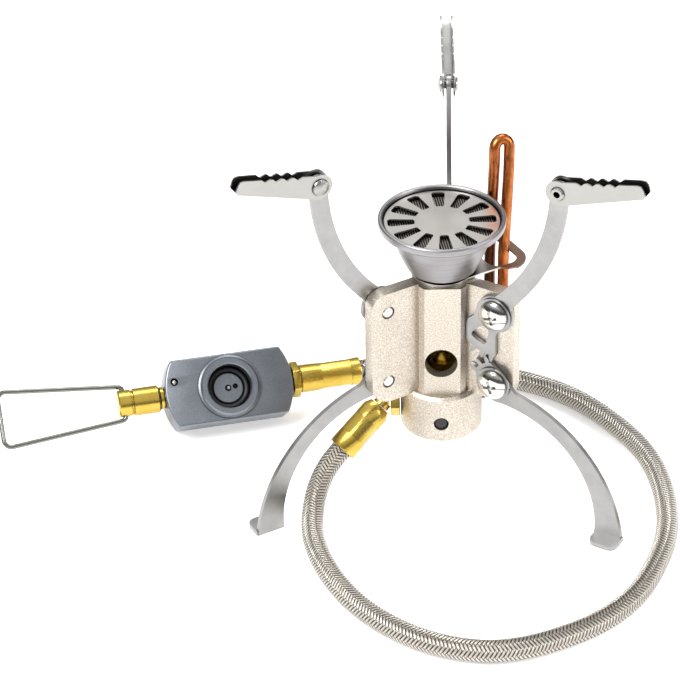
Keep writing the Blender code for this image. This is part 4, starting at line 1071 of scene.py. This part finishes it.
def ramp(value, *stops):
    """Colour ramp through (position, colour or grey) stops."""
    made = node(value.id_data, "ShaderNodeValToRGB", {"Fac": value})
    elements = made.color_ramp.elements
    while len(elements) < len(stops):
        elements.new(1.0)
    for element, (position, colour) in zip(elements, stops):
        element.position = position
        element.color = (*colour, 1.0) if isinstance(colour, tuple) else (colour, colour, colour, 1.0)
    return made.outputs["Color"]


def math_node(operation, first, second=0.0):
    """Result of a sum on two values, at least one of which is a socket."""
    tree = first.id_data if isinstance(first, bpy.types.NodeSocket) else second.id_data
    return node(tree, "ShaderNodeMath", {0: first, 1: second}, operation=operation).outputs[0]


def times(first, second):
    return math_node("MULTIPLY", first, second)


def mixed(factor, first, second, blend_type="MIX"):
    inputs = {"Fac": factor, "Color1": first, "Color2": second}
    return node(first.id_data, "ShaderNodeMixRGB", inputs, blend_type=blend_type).outputs["Color"]


def paint(shader, colour):
    shader.id_data.links.new(colour, shader.inputs["Base Color"])


def roughen(shader, value, low, high, top=0.7):
    """Roughness that goes from low to high as the value rises from 0.3 to top."""
    shader.id_data.links.new(ramp(value, (0.3, low), (top, high)), shader.inputs["Roughness"])


def bump(shader, height, strength, distance):
    """Bump of a height between 0 and 1, distance in millimetres."""
    inputs = {"Height": height, "Strength": strength, "Distance": distance * MM}
    normal = node(shader.id_data, "ShaderNodeBump", inputs).outputs["Normal"]
    shader.id_data.links.new(normal, shader.inputs["Normal"])


def shaded(colour, distance, dark=0.03, least=0.0):
    """Colour with painted shade: it darkens in narrow gaps, distance in millimetres, and nowhere below least.
    """
    inputs = {"Distance": distance * MM}
    open_sky = node(colour.id_data, "ShaderNodeAmbientOcclusion", inputs, samples=8).outputs["AO"]
    shade = math_node("MAXIMUM", ramp(open_sky, (0.35, dark), (0.80, 1.0)), least)
    return mixed(1.0, colour, shade, "MULTIPLY")


@finish((0.60, 0.51, 0.44), 1.0, 0.42)
def bead_blasted_alloy(shader):
    """Warm champagne plate over a bead-blasted casting, with a fine sparkle."""
    grain = noise(shader, 2600, 4.0, 0.75)
    paint(shader, ramp(grain, (0.32, (0.35, 0.30, 0.25)), (0.52, (0.59, 0.535, 0.465)),
                             (0.70, (0.92, 0.865, 0.79))))
    roughen(shader, grain, 0.52, 0.34)
    bump(shader, grain, 0.6, 0.05)


@finish((0.48, 0.465, 0.48), 1.0, 0.32)
def turned_aluminium(shader):
    """Satin aluminium with fine rings left by the lathe, and painted shade in narrow gaps such as inside the
    rim.
    """
    rings = noise(shader, (40, 40, 2600), 3.0)
    roughen(shader, rings, 0.34, 0.44)
    colour = ramp(rings, (0.30, (0.27, 0.26, 0.27)), (0.70, (0.36, 0.35, 0.362)))
    # Painted shade: the colour darkens in narrow gaps, as inside the rim and near the foot.
    paint(shader, shaded(colour, 3.5, 0.05))
    bump(shader, rings, 0.15, 0.02)


@finish((0.52, 0.51, 0.485), 1.0, 0.30)
def bright_stainless(shader):
    """Satin stainless, brightest on the flame plate, with a painted brown reflection of the copper tube where
    the bracket meets the tube, and painted shade in narrow gaps.
    """
    height = coordinate(shader, "Z")
    right = ramp(times(coordinate(shader, "X"), 0.02), (0.30, 0.0), (0.44, 1.0))
    plain = ramp(times(height, 0.005), (0.50, (0.62, 0.60, 0.565)), (0.56, (0.35, 0.345, 0.33)))
    # Painted reflection of the copper tube: brown on the bracket's lug, right of the cup and below the top
    # given above.
    brown = times(math_node("LESS_THAN", height, COPPER_REFLECTION_TOP), right)
    tint = mixed(brown, plain, (0.24, 0.15, 0.11, 1.0))
    # Painted shade darkens narrow gaps such as the supports' channels and inside the rim; on the back arm's
    # support, past REAR_START, it stays no darker than 0.34.
    behind = times(math_node("GREATER_THAN", coordinate(shader, "Y"), REAR_START), 0.34)
    paint(shader, shaded(tint, 4.0, least=behind))
    roughen(shader, noise(shader, 150, 3.0), 0.27, 0.34)


@finish((0.20, 0.18, 0.16), 1.0, 0.40)
def dark_mesh(shader):
    """Ribbed wire gauze: bright crests, with painted shade, near black, in the gaps between the ribs."""
    ribs_x = times(coordinate(shader, "X"), math.cos(RIB_LEAN))
    ribs_y = times(coordinate(shader, "Y"), math.sin(RIB_LEAN))
    across = times(math_node("ADD", ribs_x, ribs_y), 2 * math.pi / RIB_PITCH)
    crest = math_node("MULTIPLY_ADD", math_node("SINE", across), 0.5)
    crest.node.inputs[2].default_value = 0.5
    # Painted shade: near black in the troughs between the ribs, full colour on the crests.
    paint(shader, ramp(crest, (0.25, (0.012, 0.011, 0.01)), (0.85, (0.46, 0.43, 0.39))))
    bump(shader, noise(shader, 5000), 0.3, 0.04)


@finish((0.34, 0.335, 0.33), 1.0, 0.36)
def satin_steel(shader):
    """Tumbled grey steel with faint smudges."""
    smudges = noise(shader, 110, 4.0, 0.6)
    roughen(shader, smudges, 0.28, 0.44)
    paint(shader, ramp(smudges, (0.3, (0.28, 0.275, 0.275)), (0.7, (0.38, 0.375, 0.37))))
    bump(shader, noise(shader, 5000), 0.12, 0.03)


@finish((0.62, 0.60, 0.57), 1.0, 0.10)
def chrome_screw(shader):
    roughen(shader, noise(shader, 900, 3.0), 0.06, 0.20)


@finish((0.50, 0.20, 0.07), 1.0, 0.3)
def copper_tube(shader):
    """Copper with the brown streaks that heat leaves, and painted shade, near black, on the leg beside the
    cup below its rim.
    """
    stains = noise(shader, (520, 520, 170), 4.0, 0.62)
    copper = ramp(stains, (0.32, (0.09, 0.026, 0.012)), (0.46, (0.34, 0.10, 0.03)),
                  (0.62, (0.48, 0.16, 0.045)), (0.80, (0.58, 0.24, 0.085)))
    # Painted shade of the cup: near black on the tube's left leg, below the rim.
    near_cup = math_node("LESS_THAN", coordinate(shader, "X"), CUP_SHADE_SIDE)
    below_rim = ramp(times(coordinate(shader, "Z"), 0.005), (0.46, 0.85), (0.53, 0.0))
    paint(shader, mixed(times(near_cup, below_rim), copper, (0.03, 0.012, 0.01, 1.0)))
    roughen(shader, stains, 0.44, 0.26)


@finish((0.68, 0.52, 0.12), 1.0, 0.2)
def yellow_brass(shader):
    tarnish = noise(shader, 120, 3.0)
    colour = ramp(tarnish, (0.30, (0.54, 0.37, 0.06)), (0.70, (0.66, 0.48, 0.11)))
    # Painted shade darkens the brass in narrow gaps and creases.
    paint(shader, shaded(colour, 1.5, 0.25))
    roughen(shader, tarnish, 0.30, 0.24)


@finish((0.008, 0.008, 0.009), 0.0, 0.30)
def black_steel(shader):
    roughen(shader, noise(shader, 1200, 3.0), 0.22, 0.4)


@finish((0.70, 0.69, 0.67), 1.0, 0.30)
def braided_wire(shader):
    """Steel-wire braid: two families of flat strands that pass over and under each other in columns."""
    uv = node(shader.id_data, "ShaderNodeUVMap", uv_map="braid").outputs["UV"]
    place = node(shader.id_data, "ShaderNodeSeparateXYZ", {0: uv})
    around = times(place.outputs["X"], BRAID_COLUMNS)
    along = times(place.outputs["Y"], BRAID_ROWS)
    right = math_node("ADD", around, along)
    left = math_node("SUBTRACT", around, along)
    cell = math_node("ADD", math_node("FLOOR", right), math_node("FLOOR", left))
    over = math_node("LESS_THAN", math_node("FLOORED_MODULO", cell, 4.0), 1.5)
    under = math_node("SUBTRACT", 1.0, over)
    heights = []
    for family, weight in ((right, over), (left, under)):
        across = math_node("FRACT", family)
        crown = math_node("SINE", times(across, math.pi))
        wires = math_node("SINE", times(across, 2 * math.pi * WIRES_IN_STRAND))
        profile = math_node("ADD", math_node("POWER", crown, 0.5), times(wires, 0.12))
        heights.append(times(profile, weight))
    height = math_node("ADD", *heights)
    # Painted shade: near black in the gaps between strands and darker on their sides than on their crowns.
    paint(shader, ramp(height, (0.44, (0.022, 0.015, 0.01)), (0.72, (0.26, 0.23, 0.19)),
                             (0.97, (0.74, 0.70, 0.64))))
    roughen(shader, height, 0.5, 0.30, 0.9)
    bump(shader, height, 1.0, 0.45)


@finish((0.20, 0.22, 0.25), 0.9, 0.36)
def anodised_blue_grey(shader):
    grain = noise(shader, 2600)
    colour = ramp(grain, (0.3, (0.18, 0.195, 0.22)), (0.7, (0.235, 0.255, 0.285)))
    # Painted shade darkens the crease round the boss's root and other narrow gaps.
    paint(shader, shaded(colour, 2.0, 0.12))
    roughen(shader, noise(shader, 140, 3.0), 0.32, 0.42)
    bump(shader, grain, 0.15, 0.03)


@finish((0.012, 0.012, 0.013), 0.0, 0.45)
def black_rubber(shader):
    bump(shader, noise(shader, 4000), 0.2, 0.03)


@finish((0.21, 0.22, 0.195), 1.0, 0.22)
def spring_wire(shader):
    roughen(shader, noise(shader, 300), 0.18, 0.28)


# ---- camera and studio

def make_camera():
    """Long lens above the front of the stove, looking down at it."""
    elevation, azimuth, roll = map(math.radians, (CAMERA_ELEVATION, CAMERA_AZIMUTH, CAMERA_ROLL))
    back = Vector((math.sin(azimuth) * math.cos(elevation), -math.cos(azimuth) * math.cos(elevation),
                   math.sin(elevation)))
    level = Vector((math.cos(azimuth), math.sin(azimuth), 0))
    upward = back.cross(level)
    right = level * math.cos(roll) + upward * math.sin(roll)
    up = upward * math.cos(roll) - level * math.sin(roll)
    target = Vector((CAMERA_TARGET[0] + STOVE_X, CAMERA_TARGET[1] + STOVE_Y, CAMERA_TARGET[2])) * MM
    data = bpy.data.cameras.new("camera")
    data.sensor_width = 36.0
    data.lens = CAMERA_LENS
    data.clip_end = 20
    camera = bpy.data.objects.new("camera", data)
    facing = Matrix((right, up, back)).transposed().to_4x4()
    camera.matrix_world = Matrix.Translation(target + back * CAMERA_DISTANCE) @ facing
    bpy.context.scene.collection.objects.link(camera)
    bpy.context.scene.camera = camera


def area_light(name, place, size, watts):
    """Soft light that faces the middle of the stove; places and sizes are in metres."""
    data = bpy.data.lights.new(name, "AREA")
    data.shape = "RECTANGLE"
    data.size, data.size_y = size
    data.energy = watts
    light = bpy.data.objects.new(name, data)
    light.location = place
    light.rotation_euler = (Vector(place) - Vector(LIGHT_TARGET)).to_track_quat("Z", "Y").to_euler()
    bpy.context.scene.collection.objects.link(light)


def make_floor():
    shape = bmesh.new()
    bmesh.ops.create_grid(shape, x_segments=1, y_segments=1, size=FLOOR_HALF)
    floor = bpy.data.objects.new("floor", mesh_of(shape))
    floor.location.z = FLOOR_Z
    bpy.context.scene.collection.objects.link(floor)
    material, shader = nodes_for("floor", (0.90, 0.895, 0.885), 0.0, 0.9)
    paint(shader, ramp(noise(shader, 3.0), (0.0, (0.895, 0.89, 0.88)), (1.0, (0.905, 0.90, 0.89))))
    shader.inputs["Emission Color"].default_value = (1.0, 1.0, 1.0, 1.0)
    shader.inputs["Emission Strength"].default_value = FLOOR_GLOW
    floor.data.materials.append(material)


def make_studio():
    """Pale floor, soft lights, and a sky that darkens towards the horizon."""
    make_floor()
    area_light("key", (-0.45, -0.45, 0.75), (0.40, 0.40), 8.0)
    area_light("fill", (0.65, -0.25, 0.45), (0.30, 0.45), 3.5)
    area_light("back", (0.05, 0.45, 0.95), (0.6, 0.3), 3.5)
    world = bpy.data.worlds.new("studio")
    world.use_nodes = True
    bpy.context.scene.world = world
    tree = world.node_tree
    direction = node(tree, "ShaderNodeTexCoord").outputs["Generated"]
    height = node(tree, "ShaderNodeSeparateXYZ", {0: direction}).outputs["Z"]
    level = math_node("ADD", times(height, 0.5), 0.5)
    sky = ramp(level, (0.0, 0.5), (0.47, 0.4), (0.51, 0.05), (0.60, 0.12), (0.68, 0.40), (0.76, 0.85),
               (1.0, 0.85))
    background = tree.nodes["Background"]
    tree.links.new(sky, background.inputs["Color"])
    background.inputs["Strength"].default_value = WORLD_STRENGTH
    bpy.context.scene.view_settings.view_transform = "Standard"


# ---- the scene

def main():
    make_camera()
    hose, path, length = build_hose()
    build()
    place_pieces()
    make_studio()


main()
